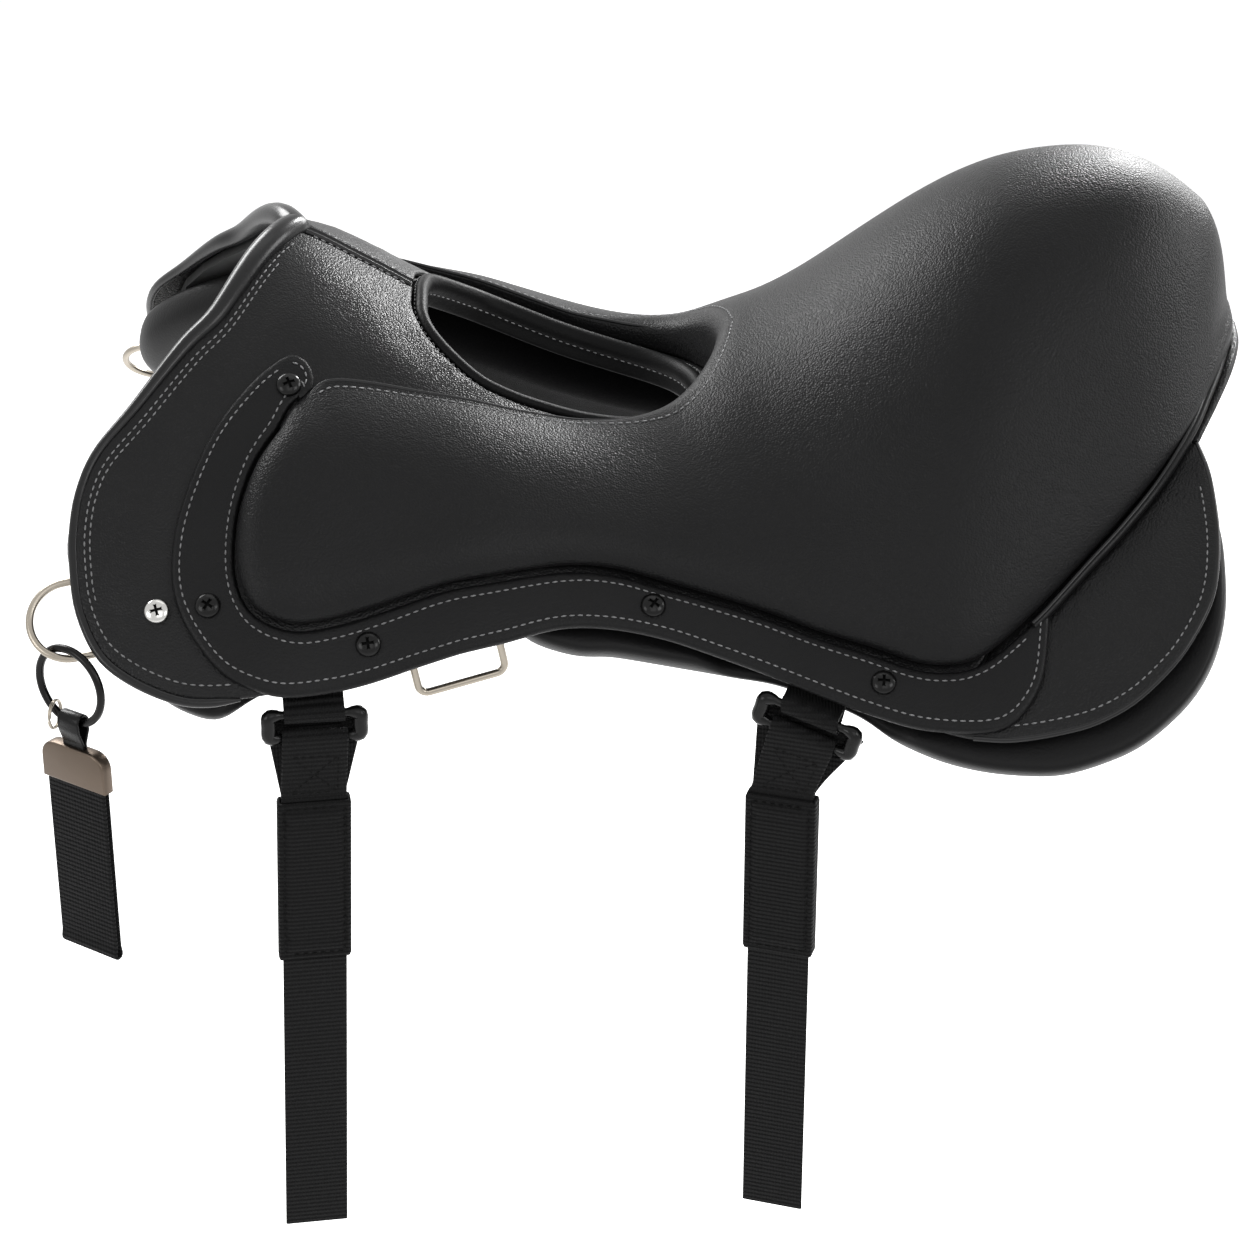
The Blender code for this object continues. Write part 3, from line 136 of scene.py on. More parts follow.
def ground(x, y):
    """Height of the tree's top: a pitched roof at the pommel, a bowl behind it."""
    pommel = ease((POMMEL_END - x) / POMMEL_FADE)
    bowl = flap_drop(x) * (y / FLAP_REACH) ** 2
    roof = ROOF_SLOPE * (np.sqrt(y * y + RIDGE_ROUND ** 2) - RIDGE_ROUND)
    return ridge_height(x) - (1 - pommel) * bowl - pommel * roof


def normals(x, y):
    slope_x = (ground(x + SLOPE_STEP, y) - ground(x - SLOPE_STEP, y)) / (2 * SLOPE_STEP)
    slope_y = (ground(x, y + SLOPE_STEP) - ground(x, y - SLOPE_STEP)) / (2 * SLOPE_STEP)
    return unit(np.stack([-slope_x, -slope_y, np.ones_like(slope_x)], axis=-1))


def lay(plan, depth, rise=0.0):
    """Plan points laid on the tree, at a depth along its normal and lifted by rise."""
    x, y = plan[:, 0], plan[:, 1]
    foot = np.stack([x, y, ground(x, y) + rise], axis=1)
    return foot + normals(x, y) * np.broadcast_to(depth, x.shape)[:, None]


def spot_on(x, y, side, depth):
    """Point on the tree from plan millimetres."""
    return lay(np.array([[x * MM, y * MM * side]]), depth)[0]


print("ground at the middle of the waist:", round(float(ground(0.0, 0.14)), 4))

# %% [markdown]
# ## Pattern pieces
# These are the outlines that a saddler would cut, as plan points in millimetres, with y
# counted outward from the centre line. A spline runs through them, and we read it at even
# steps, so that long and short stretches get equally fine edges.

# %% outlines of the leather pieces
FRONT_EDGE = [(-154, 5), (-165, 23), (-184, 54), (-200, 69), (-221, 91), (-238, 107),
              (-245, 120), (-247, 133), (-246, 144), (-243, 156), (-236, 167), (-227, 174),
              (-211, 180), (-193, 183), (-171, 182), (-151, 178)]
SKIRT_SEAM = [(-151, 178), (-164, 173), (-180, 166), (-192, 155), (-195, 140), (-190, 122),
              (-178, 107), (-160, 98.5), (-136, 95), (-100, 90), (-60, 82), (-34, 68), (-20, 55)]
SLOT_FRONT = [(-20, 55), (-38, 57), (-54, 58), (-70, 56), (-84, 48), (-95, 37), (-101, 24),
              (-102, 12), (-102, 5)]
SLOT = [(-99.5, 0), (-99, 12), (-98, 24), (-93, 35), (-82, 46), (-69, 54), (-54, 56),
        (-38, 55), (-20, 53), (0, 48), (14, 41), (26, 30), (33, 16), (36, 0)]
WAIST_EDGE = [(-151, 178), (-130, 173), (-101, 167.5), (-79, 164), (-57, 158.5), (-30, 149.5),
              (-7, 146.5), (16, 147.5), (39, 151.5), (62, 156.5), (84, 162.5), (107, 169.5),
              (131, 176)]
REAR_SEAM = [(131, 176), (148, 168), (164, 150), (185, 125), (210, 102), (235, 84), (250, 76),
             (263, 80)]
REAR_EDGE = [(263, 80), (266, 96), (267, 112), (267, 127), (265, 141), (261, 152), (252, 163),
             (242, 171), (226, 179), (209, 183), (193, 184), (171, 184), (154, 182), (131, 176)]
BACK_EDGE = [(263, 80), (274.5, 60), (284, 40), (289.6, 20), (291.2, 0)]
CUSHION_OUT = [(-146, 84.5), (-152, 90.5), (-157, 99), (-166, 110), (-172, 123), (-174, 135),
               (-173, 146), (-168, 154), (-160, 158), (-148, 159), (-130, 155), (-112, 151),
               (-93, 147), (-66, 141), (-30, 130), (-7, 127), (16, 129), (39, 132), (62, 136),
               (85, 142), (108, 148), (130, 155), (145, 157), (156, 156), (168, 151),
               (190, 137), (208, 124), (226, 111), (244, 96), (262, 75.5), (272.5, 58.5),
               (282, 40), (289.5, 20), (291.5, 0)]
CUSHION_IN = [(40.5, 0), (37, 18), (29, 33.5), (17, 45.5), (4, 53), (-8, 58), (-21, 61.6),
              (-34.8, 64.6), (-59, 69.8), (-88, 73.7), (-117.5, 75.5), (-133, 77.2),
              (-141, 80), (-146, 84.5)]
RAIL_OUT = [(-158, 73), (-170, 82), (-186, 98), (-196, 115), (-202, 131), (-203, 146),
            (-199, 157), (-190, 167), (-179, 175), (-166, 179), (-152, 179.5), (-130, 174.5),
            (-101, 169), (-79, 165.5), (-57, 160), (-30, 151), (-7, 148), (16, 149), (39, 153),
            (62, 158), (84, 164), (107, 171), (131, 177.5), (158, 180.5), (171, 179),
            (180, 173), (186, 165), (189, 153), (191, 139)]
RAIL_TOP = [(-149, 88), (-143, 82), (-145, 74), (-152, 70.5), (-158, 73)]
PANEL_EDGE = [(-150, 60), (-176, 68), (-204, 84), (-228, 99), (-245, 114), (-252, 127),
              (-253, 137), (-248, 147), (-239, 157), (-229, 165), (-218, 174), (-206, 181),
              (-193, 185), (-181, 186), (-168, 180), (-152, 174), (-128, 169), (-108, 161),
              (-96, 149), (-76, 144), (-56, 144), (-42, 152), (-20, 154), (-3, 152), (33, 153),
              (52, 154), (68, 155), (88, 160), (106, 167), (120, 176), (139, 184), (157, 189),
              (174, 192), (192, 194), (209, 193), (227, 190), (245, 182), (255, 174),
              (262, 163), (266, 149), (267, 130), (266, 114), (260, 93), (248, 70), (230, 50),
              (200, 41), (150, 38), (100, 40), (50, 48), (0, 62), (-60, 68), (-110, 66)]
RAIL_SCREWS = [(-154, 83), (-186, 155), (-115, 161), (11, 138), (115, 161)]
POINT_SCREW = (-209, 157)

# %% depths of the layers, in metres above the tree
BASE_LOW, BASE_HIGH = 0.0006, 0.0028
OVER_LOW, RAIL_HIGH = 0.0034, 0.0064
PANEL_HIGH, PANEL_THICK = -0.0068, 0.0240
CUSHION_THICK, CROWN = 0.0135, 0.0020
PIPING, POMMEL_ROLL = 0.0022, 0.0068


# %% reading an outline
def spline(knots, closed, count):
    """Points on a smooth curve through knots, count of them to each stretch."""
    if closed:
        padded = np.vstack([knots[-1:], knots, knots[:2]])
    else:
        padded = np.vstack([2 * knots[0] - knots[1], knots, 2 * knots[-1] - knots[-2]])
    dense = []
    for a, b, c, d in zip(padded[:-3], padded[1:-2], padded[2:-1], padded[3:]):
        for t in np.linspace(0, 1, count, endpoint=False):
            dense.append(0.5 * (2 * b + (c - a) * t + (2 * a - 5 * b + 4 * c - d) * t ** 2
                                + (3 * b - a - 3 * c + d) * t ** 3))
    return np.array([*dense, padded[-2]])


def way_along(line):
    """How far each point of a line lies from its start, measured along it."""
    return np.concatenate([[0], np.cumsum(np.linalg.norm(np.diff(line, axis=0), axis=1))])


def even(line, step, closed=False):
    """The same line, read at even steps."""
    travel = way_along(line)
    marks = np.linspace(0, travel[-1], max(2, round(travel[-1] / step)) + 1)
    run = np.stack([np.interp(marks, travel, line[:, k]) for k in range(line.shape[1])], axis=1)
    return run[:-1] if closed else run


def smooth_run(points, step, closed=False):
    """Spline through plan points in millimetres, read at even steps in metres."""
    return even(spline(np.array(points, dtype=float) * MM, closed, 12), step, closed)


def rounded_path(points, step, closed=False):
    """Spline through points in space, read at even steps."""
    return even(spline(np.array(points, dtype=float), closed, 10), step, closed)


def both_sides(points):
    return points + [(x, -y) for x, y in reversed(points) if y > 0]


def area(outline):
    x, y = outline[:, 0], outline[:, 1]
    return 0.5 * np.sum(x * np.roll(y, -1) - y * np.roll(x, -1))


def for_side(outline, side):
    turned = outline * MIRROR[side]
    return turned if area(turned) > 0 else turned[::-1]


def inset(outline, distance):
    """Outline moved inward by a distance."""
    ahead = unit(np.roll(outline, -1, axis=0) - outline)
    mean = unit(ahead + np.roll(ahead, 1, axis=0))
    inward = np.stack([-mean[:, 1], mean[:, 0]], axis=1)
    lean = np.abs(inward[:, 0] * -ahead[:, 1] + inward[:, 1] * ahead[:, 0])
    reach = (distance / np.maximum(lean, 0.5))[:, None]
    return outline + math.copysign(1, area(outline)) * inward * reach


def distance_to(line, points, closed=True):
    """Least distance of each plan point to a line."""
    start = line if closed else line[:-1]
    way = (np.roll(line, -1, axis=0) if closed else line[1:]) - start
    length = np.maximum(np.sum(way * way, axis=1), 1e-12)
    least = np.empty(len(points))
    for first in range(0, len(points), 2000):
        part = points[first:first + 2000]
        offset = part[:, None, :] - start[None]
        t = np.clip(np.sum(offset * way[None], axis=2) / length[None], 0, 1)
        gaps = np.linalg.norm(offset - t[..., None] * way[None], axis=2)
        least[first:first + 2000] = gaps.min(axis=1)
    return least


print("pattern pieces read, screws:", len(RAIL_SCREWS))

# %% [markdown]
# ## Studio
# Black leather shows almost nothing of its own colour: what we see are the lamps in it.
# Eight soft lamps stand round the saddle. Those behind it draw the long highlights on the
# seat, the pommel and the bridge before the slot; the others open up the near side and the
# cantle. The floor is pale and keeps the shadow, and it looks white to the camera and to
# metal.

# %% node helpers
def add(tree, kind, **settings):
    node = tree.nodes.new(kind)
    for key, value in settings.items():
        setattr(node, key, value)
    return node


def join(tree, source, target):
    tree.links.new(source, target)


def maths(tree, operation, *values):
    """Output of a math node on sockets and plain numbers."""
    node = add(tree, "ShaderNodeMath", operation=operation)
    for socket, value in zip(node.inputs, values):
        if isinstance(value, float):
            socket.default_value = value
        else:
            join(tree, value, socket)
    return node.outputs[0]


def white_rays(tree):
    """Value that is 1 for rays from the camera, in metal and through glass."""
    path = add(tree, "ShaderNodeLightPath")
    seen = maths(tree, "MAXIMUM", path.outputs["Is Camera Ray"], path.outputs["Is Glossy Ray"])
    return maths(tree, "MAXIMUM", seen, path.outputs["Is Transmission Ray"])


# %% lamps: place, point looked at, size in metres and power
LAMPS = {"back_right_lamp": ((0.95, 1.40, 0.50), (0.1, 0.0, 0.02), (0.9, 0.5), 16.0),
         "back_left_lamp": ((-0.80, 0.75, 0.72), (-0.15, 0.0, 0.0), (0.7, 0.5), 15.0),
         "bridge_lamp": ((0.52, 0.94, 0.66), (-0.12, 0.0, 0.0), (0.26, 0.20), 12.0),
         "top_lamp": ((0.1, 0.35, 1.6), (0.0, 0.0, 0.0), (1.2, 0.5), 1.5),
         "near_lamp": ((0.3, -1.9, 1.2), (0.0, 0.0, -0.1), (1.2, 1.2), 5.0),
         "front_right_lamp": ((1.25, -1.05, 0.75), (0.15, 0.0, 0.0), (0.6, 0.6), 5.0),
         "front_left_lamp": ((-1.15, -1.0, 0.45), (-0.15, 0.0, 0.0), (0.6, 0.6), 4.0),
         "right_lamp": ((1.5, 0.25, 0.60), (0.1, 0.0, 0.0), (0.6, 0.6), 8.0)}
for name, (stand, target, size, power) in LAMPS.items():
    light = bpy.data.lights.new(name, "AREA")
    light.shape = "RECTANGLE"
    light.size, light.size_y = size
    light.energy = power
    lamp = bpy.data.objects.new(name, light)
    lamp.location = stand
    lamp.rotation_euler = (Vector(target) - Vector(stand)).to_track_quat("-Z", "Y").to_euler()
    bpy.context.scene.collection.objects.link(lamp)
print("lamps:", len(LAMPS))

# %% world
WHITE = (1.0, 1.0, 1.0, 1.0)
WORLD_LIGHT = 0.10
world = bpy.data.worlds.new("studio")
world.use_nodes = True
bpy.context.scene.world = world
air = world.node_tree
dim, bright = air.nodes["Background"], add(air, "ShaderNodeBackground")
for background, strength in ((dim, WORLD_LIGHT), (bright, 1.0)):
    background.inputs["Color"].default_value = WHITE
    background.inputs["Strength"].default_value = strength
mixed = add(air, "ShaderNodeMixShader")
join(air, white_rays(air), mixed.inputs["Fac"])
join(air, dim.outputs[0], mixed.inputs[1])
join(air, bright.outputs[0], mixed.inputs[2])
join(air, mixed.outputs[0], air.nodes["World Output"].inputs["Surface"])

# %% floor
FLOOR, FLOOR_HALF, FLOOR_BEHIND, FLOOR_GLOW = -0.62, 7.0, 2.0, 0.90
base = bmesh.new()
bmesh.ops.create_grid(base, x_segments=2, y_segments=2, size=FLOOR_HALF,
                      matrix=Matrix.Translation((0, FLOOR_BEHIND, FLOOR)))
floor_mesh = bpy.data.meshes.new("floor")
base.to_mesh(floor_mesh)
base.free()
floor = bpy.data.objects.new("floor", floor_mesh)
bpy.context.scene.collection.objects.link(floor)
pale = bpy.data.materials.new("pale floor")
pale.use_nodes = True
tree = pale.node_tree
surface = tree.nodes["Principled BSDF"]
surface.inputs["Base Color"].default_value = (0.86, 0.86, 0.86, 1.0)
surface.inputs["Roughness"].default_value = 0.9
glow = add(tree, "ShaderNodeEmission")
glow.inputs["Color"].default_value = WHITE
join(tree, maths(tree, "MULTIPLY", white_rays(tree), FLOOR_GLOW), glow.inputs["Strength"])
both = add(tree, "ShaderNodeAddShader")
join(tree, surface.outputs[0], both.inputs[0])
join(tree, glow.outputs[0], both.inputs[1])
join(tree, both.outputs[0], tree.nodes["Material Output"].inputs["Surface"])
floor_mesh.materials.append(pale)
bpy.context.scene.view_settings.view_transform = "Standard"
print("floor at", FLOOR)

# %% [markdown]
# ## Finishes
# The whole saddle is black, so its materials differ in grain, gloss and weave. Leather has
# small rounded cells with fine creases between them, and webbing has ribs across its
# length. We make each pattern once, as a node group that gives a height and a mask, and let
# every material use it at its own scale and strength.

# %% node group helpers
def new_group(name, inputs, outputs):
    group = bpy.data.node_groups.new(name, "ShaderNodeTree")
    for label, value in inputs:
        socket = group.interface.new_socket(label, in_out="INPUT", socket_type="NodeSocketFloat")
        socket.default_value = value
    for label in outputs:
        group.interface.new_socket(label, in_out="OUTPUT", socket_type="NodeSocketFloat")
    return group, group.nodes.new("NodeGroupInput"), group.nodes.new("NodeGroupOutput")


def noise(tree, scale, detail=2.0):
    node = add(tree, "ShaderNodeTexNoise")
    node.inputs["Scale"].default_value = scale
    node.inputs["Detail"].default_value = detail
    return node


# %% leather grain
GRAIN_CELLS = 1050.0
grain_group, come, out = new_group("leather grain", [("Cells", GRAIN_CELLS)], ["Height", "Mottle"])
spot = add(grain_group, "ShaderNodeTexCoord")
cells = add(grain_group, "ShaderNodeTexVoronoi", feature="SMOOTH_F1")
cells.inputs["Smoothness"].default_value = 0.35
wander, cloud = noise(grain_group, 420.0, 3.0), noise(grain_group, 26.0, 4.0)
for texture in (cells, wander, cloud):
    join(grain_group, spot.outputs["Object"], texture.inputs["Vector"])
join(grain_group, come.outputs["Cells"], cells.inputs["Scale"])
domes = maths(grain_group, "SUBTRACT", 1.0, cells.outputs["Distance"])
join(grain_group, maths(grain_group, "MULTIPLY_ADD", wander.outputs["Fac"], 0.8, domes),
     out.inputs["Height"])
join(grain_group, cloud.outputs["Fac"], out.inputs["Mottle"])
print("grain cells per metre:", GRAIN_CELLS)

# %% woven webbing: ribs across z, with warp threads between them
weave_group, come, out = new_group("webbing weave", [("Ribs", 620.0), ("Warps", 700.0)],
                                   ["Height", "Fuzz"])
spot = add(weave_group, "ShaderNodeTexCoord")
parts = add(weave_group, "ShaderNodeSeparateXYZ")
join(weave_group, spot.outputs["Object"], parts.inputs[0])


def ripple(tree, source, count):
    """Sine of a coordinate times a count per metre."""
    turns = maths(tree, "MULTIPLY", source, count)
    return maths(tree, "SINE", maths(tree, "MULTIPLY", turns, 2 * math.pi))


ribs = ripple(weave_group, parts.outputs["Z"], come.outputs["Ribs"])
warps = ripple(weave_group, parts.outputs["X"], come.outputs["Warps"])
fuzz = noise(weave_group, 900.0)
join(weave_group, spot.outputs["Object"], fuzz.inputs["Vector"])
join(weave_group, maths(weave_group, "MULTIPLY_ADD", warps, 0.35, ribs), out.inputs["Height"])
join(weave_group, fuzz.outputs["Fac"], out.inputs["Fuzz"])


# %% materials from the groups
def patterned(name, group, values, dark, light, rough, bump, mask, metallic=0.0, shine=0.5):
    """Principled material whose colour, roughness and relief come from a pattern group."""
    shade = bpy.data.materials.new(name)
    shade.use_nodes = True
    tree = shade.node_tree
    surface = tree.nodes["Principled BSDF"]
    surface.inputs["Metallic"].default_value = metallic
    surface.inputs["Specular IOR Level"].default_value = shine
    pattern = add(tree, "ShaderNodeGroup", node_tree=group)
    for label, value in values.items():
        pattern.inputs[label].default_value = value
    colour = add(tree, "ShaderNodeMix", data_type="RGBA")
    colour.inputs["A"].default_value = (*dark, 1.0)
    colour.inputs["B"].default_value = (*light, 1.0)
    join(tree, pattern.outputs[mask], colour.inputs["Factor"])
    join(tree, colour.outputs["Result"], surface.inputs["Base Color"])
    dull = add(tree, "ShaderNodeMapRange")
    dull.inputs["To Min"].default_value, dull.inputs["To Max"].default_value = rough
    join(tree, pattern.outputs[mask], dull.inputs["Value"])
    join(tree, dull.outputs[0], surface.inputs["Roughness"])
    relief = add(tree, "ShaderNodeBump")
    relief.inputs["Strength"].default_value, relief.inputs["Distance"].default_value = bump
    join(tree, pattern.outputs["Height"], relief.inputs["Height"])
    join(tree, relief.outputs[0], surface.inputs["Normal"])
    return shade


def grained(name, cells, dark, light, rough, bump, **more):
    """Leather, enamel or metal: the same grain at different sizes and strengths."""
    return patterned(name, grain_group, {"Cells": cells}, dark, light, rough, bump, "Mottle", **more)


def leather(name, level, rough, strength=0.35, cells=GRAIN_CELLS, shine=0.16):
    return grained(name, cells, (level * 0.7, level * 0.7, level * 0.74),
                   (level * 1.35, level * 1.35, level * 1.4), rough, (strength, 0.0003), shine=shine)


def woven(name, level, ribs, warps=700.0):
    return patterned(name, weave_group, {"Ribs": ribs, "Warps": warps}, (level * 0.7,) * 3,
                     (level * 1.6, level * 1.6, level * 1.65), (0.62, 0.8), (0.8, 0.0006), "Fuzz",
                     shine=0.10)


skirt_leather = leather("skirt leather", 0.011, (0.28, 0.40), strength=0.85, shine=0.2)
seat_leather = leather("seat leather", 0.011, (0.34, 0.46), strength=0.85)
rail_leather = leather("rail leather", 0.010, (0.34, 0.46), strength=0.6)
panel_leather = leather("panel leather", 0.008, (0.36, 0.50), strength=0.25)
rolled_leather = leather("rolled rim leather", 0.012, (0.20, 0.32), strength=0.08, cells=700.0,
                         shine=0.3)
# The lining is painted darker than the other leathers: painted shade for the inside of the slot.
lining_leather_painted_shade = leather("lining leather with painted shade", 0.004, (0.40, 0.52), shine=0.10)
strap_leather = leather("strap leather", 0.010, (0.22, 0.34), strength=0.2, cells=1300.0)
strap_webbing = woven("strap webbing", 0.016, ribs=450.0)
sleeve_webbing = woven("sleeve webbing", 0.014, ribs=480.0, warps=520.0)
print("materials:", len(bpy.data.materials))

# %% [markdown]
# ## Two ways to make a piece
# A pattern piece is a flat sheet: we start from a disc with as many corners as the outline
# has points, move its corners onto the outline, inset its rim where the edge will be
# rounded, and cut it with a grid of planes so that it can bend. A roll, a ring or a strap
# is a sweep: a grid whose rows are rings of points along a path, with its seam merged.

# %% finish a mesh as a piece
def finished(name, shape, shade, body="saddle", angle=45):
    """Object of a bmesh, with its material, smooth faces and the body that it rides on."""
    mesh = bpy.data.meshes.new(name)
    shape.to_mesh(mesh)
    shape.free()
    mesh.materials.append(shade)
    mesh.shade_smooth()
    mesh.set_sharp_from_angle(angle=math.radians(angle))
    piece = bpy.data.objects.new(name, mesh)
    bpy.context.scene.collection.objects.link(piece)
    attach(piece, body)
    return piece


def soften(piece, levels=1):
    """Subdivision surface for a soft piece."""
    smoother = piece.modifiers.new("soften", "SUBSURF")
    smoother.levels = smoother.render_levels = levels
    return piece


# %% cut a pattern piece
def cut_sheet(outline, rims, step):
    """Flat sheet of an outline, with rows along its rim and a grid inside."""
    sheet = bmesh.new()
    bmesh.ops.create_circle(sheet, cap_ends=True, segments=len(outline), radius=1.0)
    for vertex, point in zip(sheet.verts, outline):
        vertex.co = (*point, 0.0)
    sheet.faces.ensure_lookup_table()
    middle = sheet.faces[0]
    middle.normal_update()
    if middle.normal.z < 0:
        bmesh.ops.reverse_faces(sheet, faces=[middle])
    before = 0.0
    for rim in rims:
        bmesh.ops.inset_region(sheet, faces=[middle], thickness=rim - before, use_boundary=True,
                               use_even_offset=True)
        before = rim
    middle.material_index = 1
    low, high = outline.min(axis=0), outline.max(axis=0)
    for axis in (0, 1):
        across = Vector((1, 0, 0)) if axis == 0 else Vector((0, 1, 0))
        for number in range(math.ceil(low[axis] / step), math.floor(high[axis] / step) + 1):
            faces = [face for face in sheet.faces if face.material_index == 1]
            edges = {edge for face in faces for edge in face.edges}
            corners = {corner for face in faces for corner in face.verts}
            bmesh.ops.bisect_plane(sheet, geom=[*corners, *edges, *faces], dist=0.0006,
                                   plane_co=across * (number * step), plane_no=across)
    for face in sheet.faces:
        face.material_index = 0
    return sheet


def tuck(points, outline, amount):
    """Plan points nearer the outline than an amount, moved to that distance from it."""
    inner = inset(outline, amount)
    way = np.roll(outline, -1, axis=0) - outline
    length = np.sum(way * way, axis=1)
    offset = points[:, None, :] - outline[None]
    t = np.clip(np.sum(offset * way[None], axis=2) / length[None], 0, 1)
    gap = np.linalg.norm(offset - t[..., None] * way[None], axis=2)
    nearest = gap.argmin(axis=1)
    rows = np.arange(len(points))
    share = t[rows, nearest][:, None]
    target = inner[nearest] * (1 - share) + np.roll(inner, -1, axis=0)[nearest] * share
    close = gap[rows, nearest] < amount
    return np.where(close[:, None], target, points)


EDGE_KEPT = 0.0022      # rows nearer the cut edge than this stay where they are


def laid(name, outline, rims, step, top, low, shade, rise=None, tucked=0.0, angle=45, eased=False):
    """Pattern piece laid on the tree, its top a function of plan points, its underside at low."""
    sheet = cut_sheet(outline, rims, step)
    grown = bmesh.ops.extrude_face_region(sheet, geom=sheet.faces[:])
    upper = {item for item in grown["geom"] if isinstance(item, bmesh.types.BMVert)}
    vertices = sheet.verts[:]
    plan = np.array([vertex.co.xy for vertex in vertices])
    is_top = np.array([vertex in upper for vertex in vertices])
    under = low(plan) if callable(low) else np.full(len(plan), low)
    depth = np.where(is_top, top(plan), under)
    lift = np.where(is_top, rise(plan), 0.0) if rise else 0.0
    if tucked:
        plan = np.where(is_top[:, None], plan, tuck(plan, outline, tucked))
    for vertex, point in zip(vertices, lay(plan, depth, lift)):
        vertex.co = point
    if eased:
        free = [vertex for vertex, high, away in zip(vertices, is_top, distance_to(outline, plan))
                if high and away > EDGE_KEPT]
        bmesh.ops.smooth_vert(sheet, verts=free, factor=0.5, use_axis_x=True, use_axis_y=True,
                              use_axis_z=True)
    bmesh.ops.remove_doubles(sheet, verts=vertices, dist=0.00002)
    bmesh.ops.recalc_face_normals(sheet, faces=sheet.faces[:])
    return finished(name, sheet, shade, angle=angle)


# %% sweep a grid of points
def swept(name, rows, shade, around=False, along=False, capped=False, body="saddle", angle=45):
    """Surface through rows of points; around closes each row, along closes the path."""
    rows = np.asarray(rows, dtype=float)
    if around:
        rows = np.concatenate([rows, rows[:, :1]], axis=1)
    if along:
        rows = np.concatenate([rows, rows[:1]], axis=0)
    shape = bmesh.new()
    bmesh.ops.create_grid(shape, x_segments=rows.shape[1] - 1, y_segments=rows.shape[0] - 1, size=1.0)
    for vertex, point in zip(shape.verts, rows.reshape(-1, 3)):
        vertex.co = point
    bmesh.ops.remove_doubles(shape, verts=shape.verts[:], dist=0.000001)
    if capped:
        bmesh.ops.holes_fill(shape, edges=[edge for edge in shape.edges if edge.is_boundary], sides=0)
    bmesh.ops.recalc_face_normals(shape, faces=shape.faces[:])
    return finished(name, shape, shade, body, angle)


def tube_rows(path, radius, sides, closed=False):
    """Rings round a path, carried along it without twist."""
    path = np.asarray(path, dtype=float)
    way = np.roll(path, -1, axis=0) - np.roll(path, 1, axis=0) if closed else np.gradient(path, axis=0)
    way = unit(way)
    across = np.cross(way[0], (0.3, 0.5, 0.8))
    turn = np.arange(sides)[:, None] * 2 * math.pi / sides
    rows = []
    for centre, along, wide in zip(path, way, np.broadcast_to(radius, len(path))):
        across = unit(across - along * np.dot(across, along))
        rows.append(centre + wide * (np.cos(turn) * across + np.sin(turn) * np.cross(along, across)))
    return np.array(rows)


def tube(name, path, radius, shade, closed=False, sides=12, body="saddle"):
    """Round roll or wire along a path, which meets itself where it is closed."""
    rows = tube_rows(path, radius, sides, closed)
    if closed:
        # find the corner of the last ring at which the first ring starts
        last, first = rows[-1] - rows[-1].mean(axis=0), rows[0] - rows[0].mean(axis=0)
        shift = int(np.argmin([np.linalg.norm(np.roll(last, -k, axis=0) - first)
                               for k in range(sides)]))
        if shift:
            rows = np.concatenate([rows, np.roll(rows[:1], shift, axis=1)])
            return swept(name, rows, shade, around=True, body=body)
    return swept(name, rows, shade, around=True, along=closed, capped=not closed, body=body)


print("sheet and sweep tools ready")

# %% [markdown]
# ## Skirts and ground seat
# The skirts are 2.2 mm leather, shaped over the tree. Their cut edges are rounded with an
# edge slicker, and between the piping and the rail the leather stands a little proud of
# the tree, which draws a soft light band down the flap. We lay the outline and raise the
# sheet where nothing presses on it.

# %% base layer
SHEET_STEP, SEAT_STEP, LINE_STEP = 0.0075, 0.010, 0.005
EDGE_RIMS = (0.0005, 0.0013)
CUT_GAP = 0.0004                    # every piece is cut this much inside its drawn outline
PUFF, PUFF_RISE = 0.0018, 0.016     # how proud the skirts stand, and over what distance
rail_line = np.vstack([smooth_run(RAIL_OUT, 0.004), smooth_run(CUSHION_OUT, 0.004)[::-1]])
cushion_half = np.vstack([smooth_run(CUSHION_OUT, LINE_STEP), smooth_run(CUSHION_IN, LINE_STEP)])


def inside(outline, points):
    x, y = points[:, 0][:, None], points[:, 1][:, None]
    x0, y0 = outline[:, 0][None], outline[:, 1][None]
    x1, y1 = np.roll(outline[:, 0], -1)[None], np.roll(outline[:, 1], -1)[None]
    crossing = (y0 > y) != (y1 > y)
    height = np.where(y1 == y0, 1.0, y1 - y0)
    return np.sum(crossing & (x < (x1 - x0) * (y - y0) / height + x0), axis=1) % 2 == 1


def quarter(t):
    """Quarter round: rises steeply from 0 and levels out at 1."""
    return np.sqrt(1 - (1 - np.clip(t, 0, 1)) ** 2)


def slicked(distance, low, high, reach=0.0013):
    """Depth of a cut edge that has been rounded."""
    return low + (high - low) * (0.35 + 0.65 * quarter(distance / reach))


def skirt_top(outline, side):
    def top(plan):
        distance = distance_to(outline, plan)
        own = plan * MIRROR[side]
        covered = inside(rail_line, own) | inside(cushion_half, own)
        away = np.minimum(distance_to(rail_line, own), distance_to(cushion_half, own))
        away = np.where(covered, 0.0, away)
        return (slicked(distance, BASE_LOW, BASE_HIGH)
                + PUFF * ease(away / PUFF_RISE) * ease((distance - 0.008) / 0.018))
    return top


def cut_outline(*lines):
    """Closed outline from lines of plan millimetres that meet end to end."""
    return np.vstack([smooth_run(line, LINE_STEP)[:-1] for line in lines])


SKIRTS = {"front": cut_outline(FRONT_EDGE, SKIRT_SEAM, SLOT_FRONT, [(-102, 5), (-154, 5)]),
          "rear": cut_outline(REAR_SEAM, REAR_EDGE)}
for side, word in SIDES:
    for where, drawn in SKIRTS.items():
        outline = inset(for_side(drawn, side), CUT_GAP)
        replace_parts(laid(f"{where}_skirt_leather_{word}", outline, EDGE_RIMS, SHEET_STEP,
                         skirt_top(outline, side), BASE_LOW, skirt_leather), f"{where}_skirt_{word}")

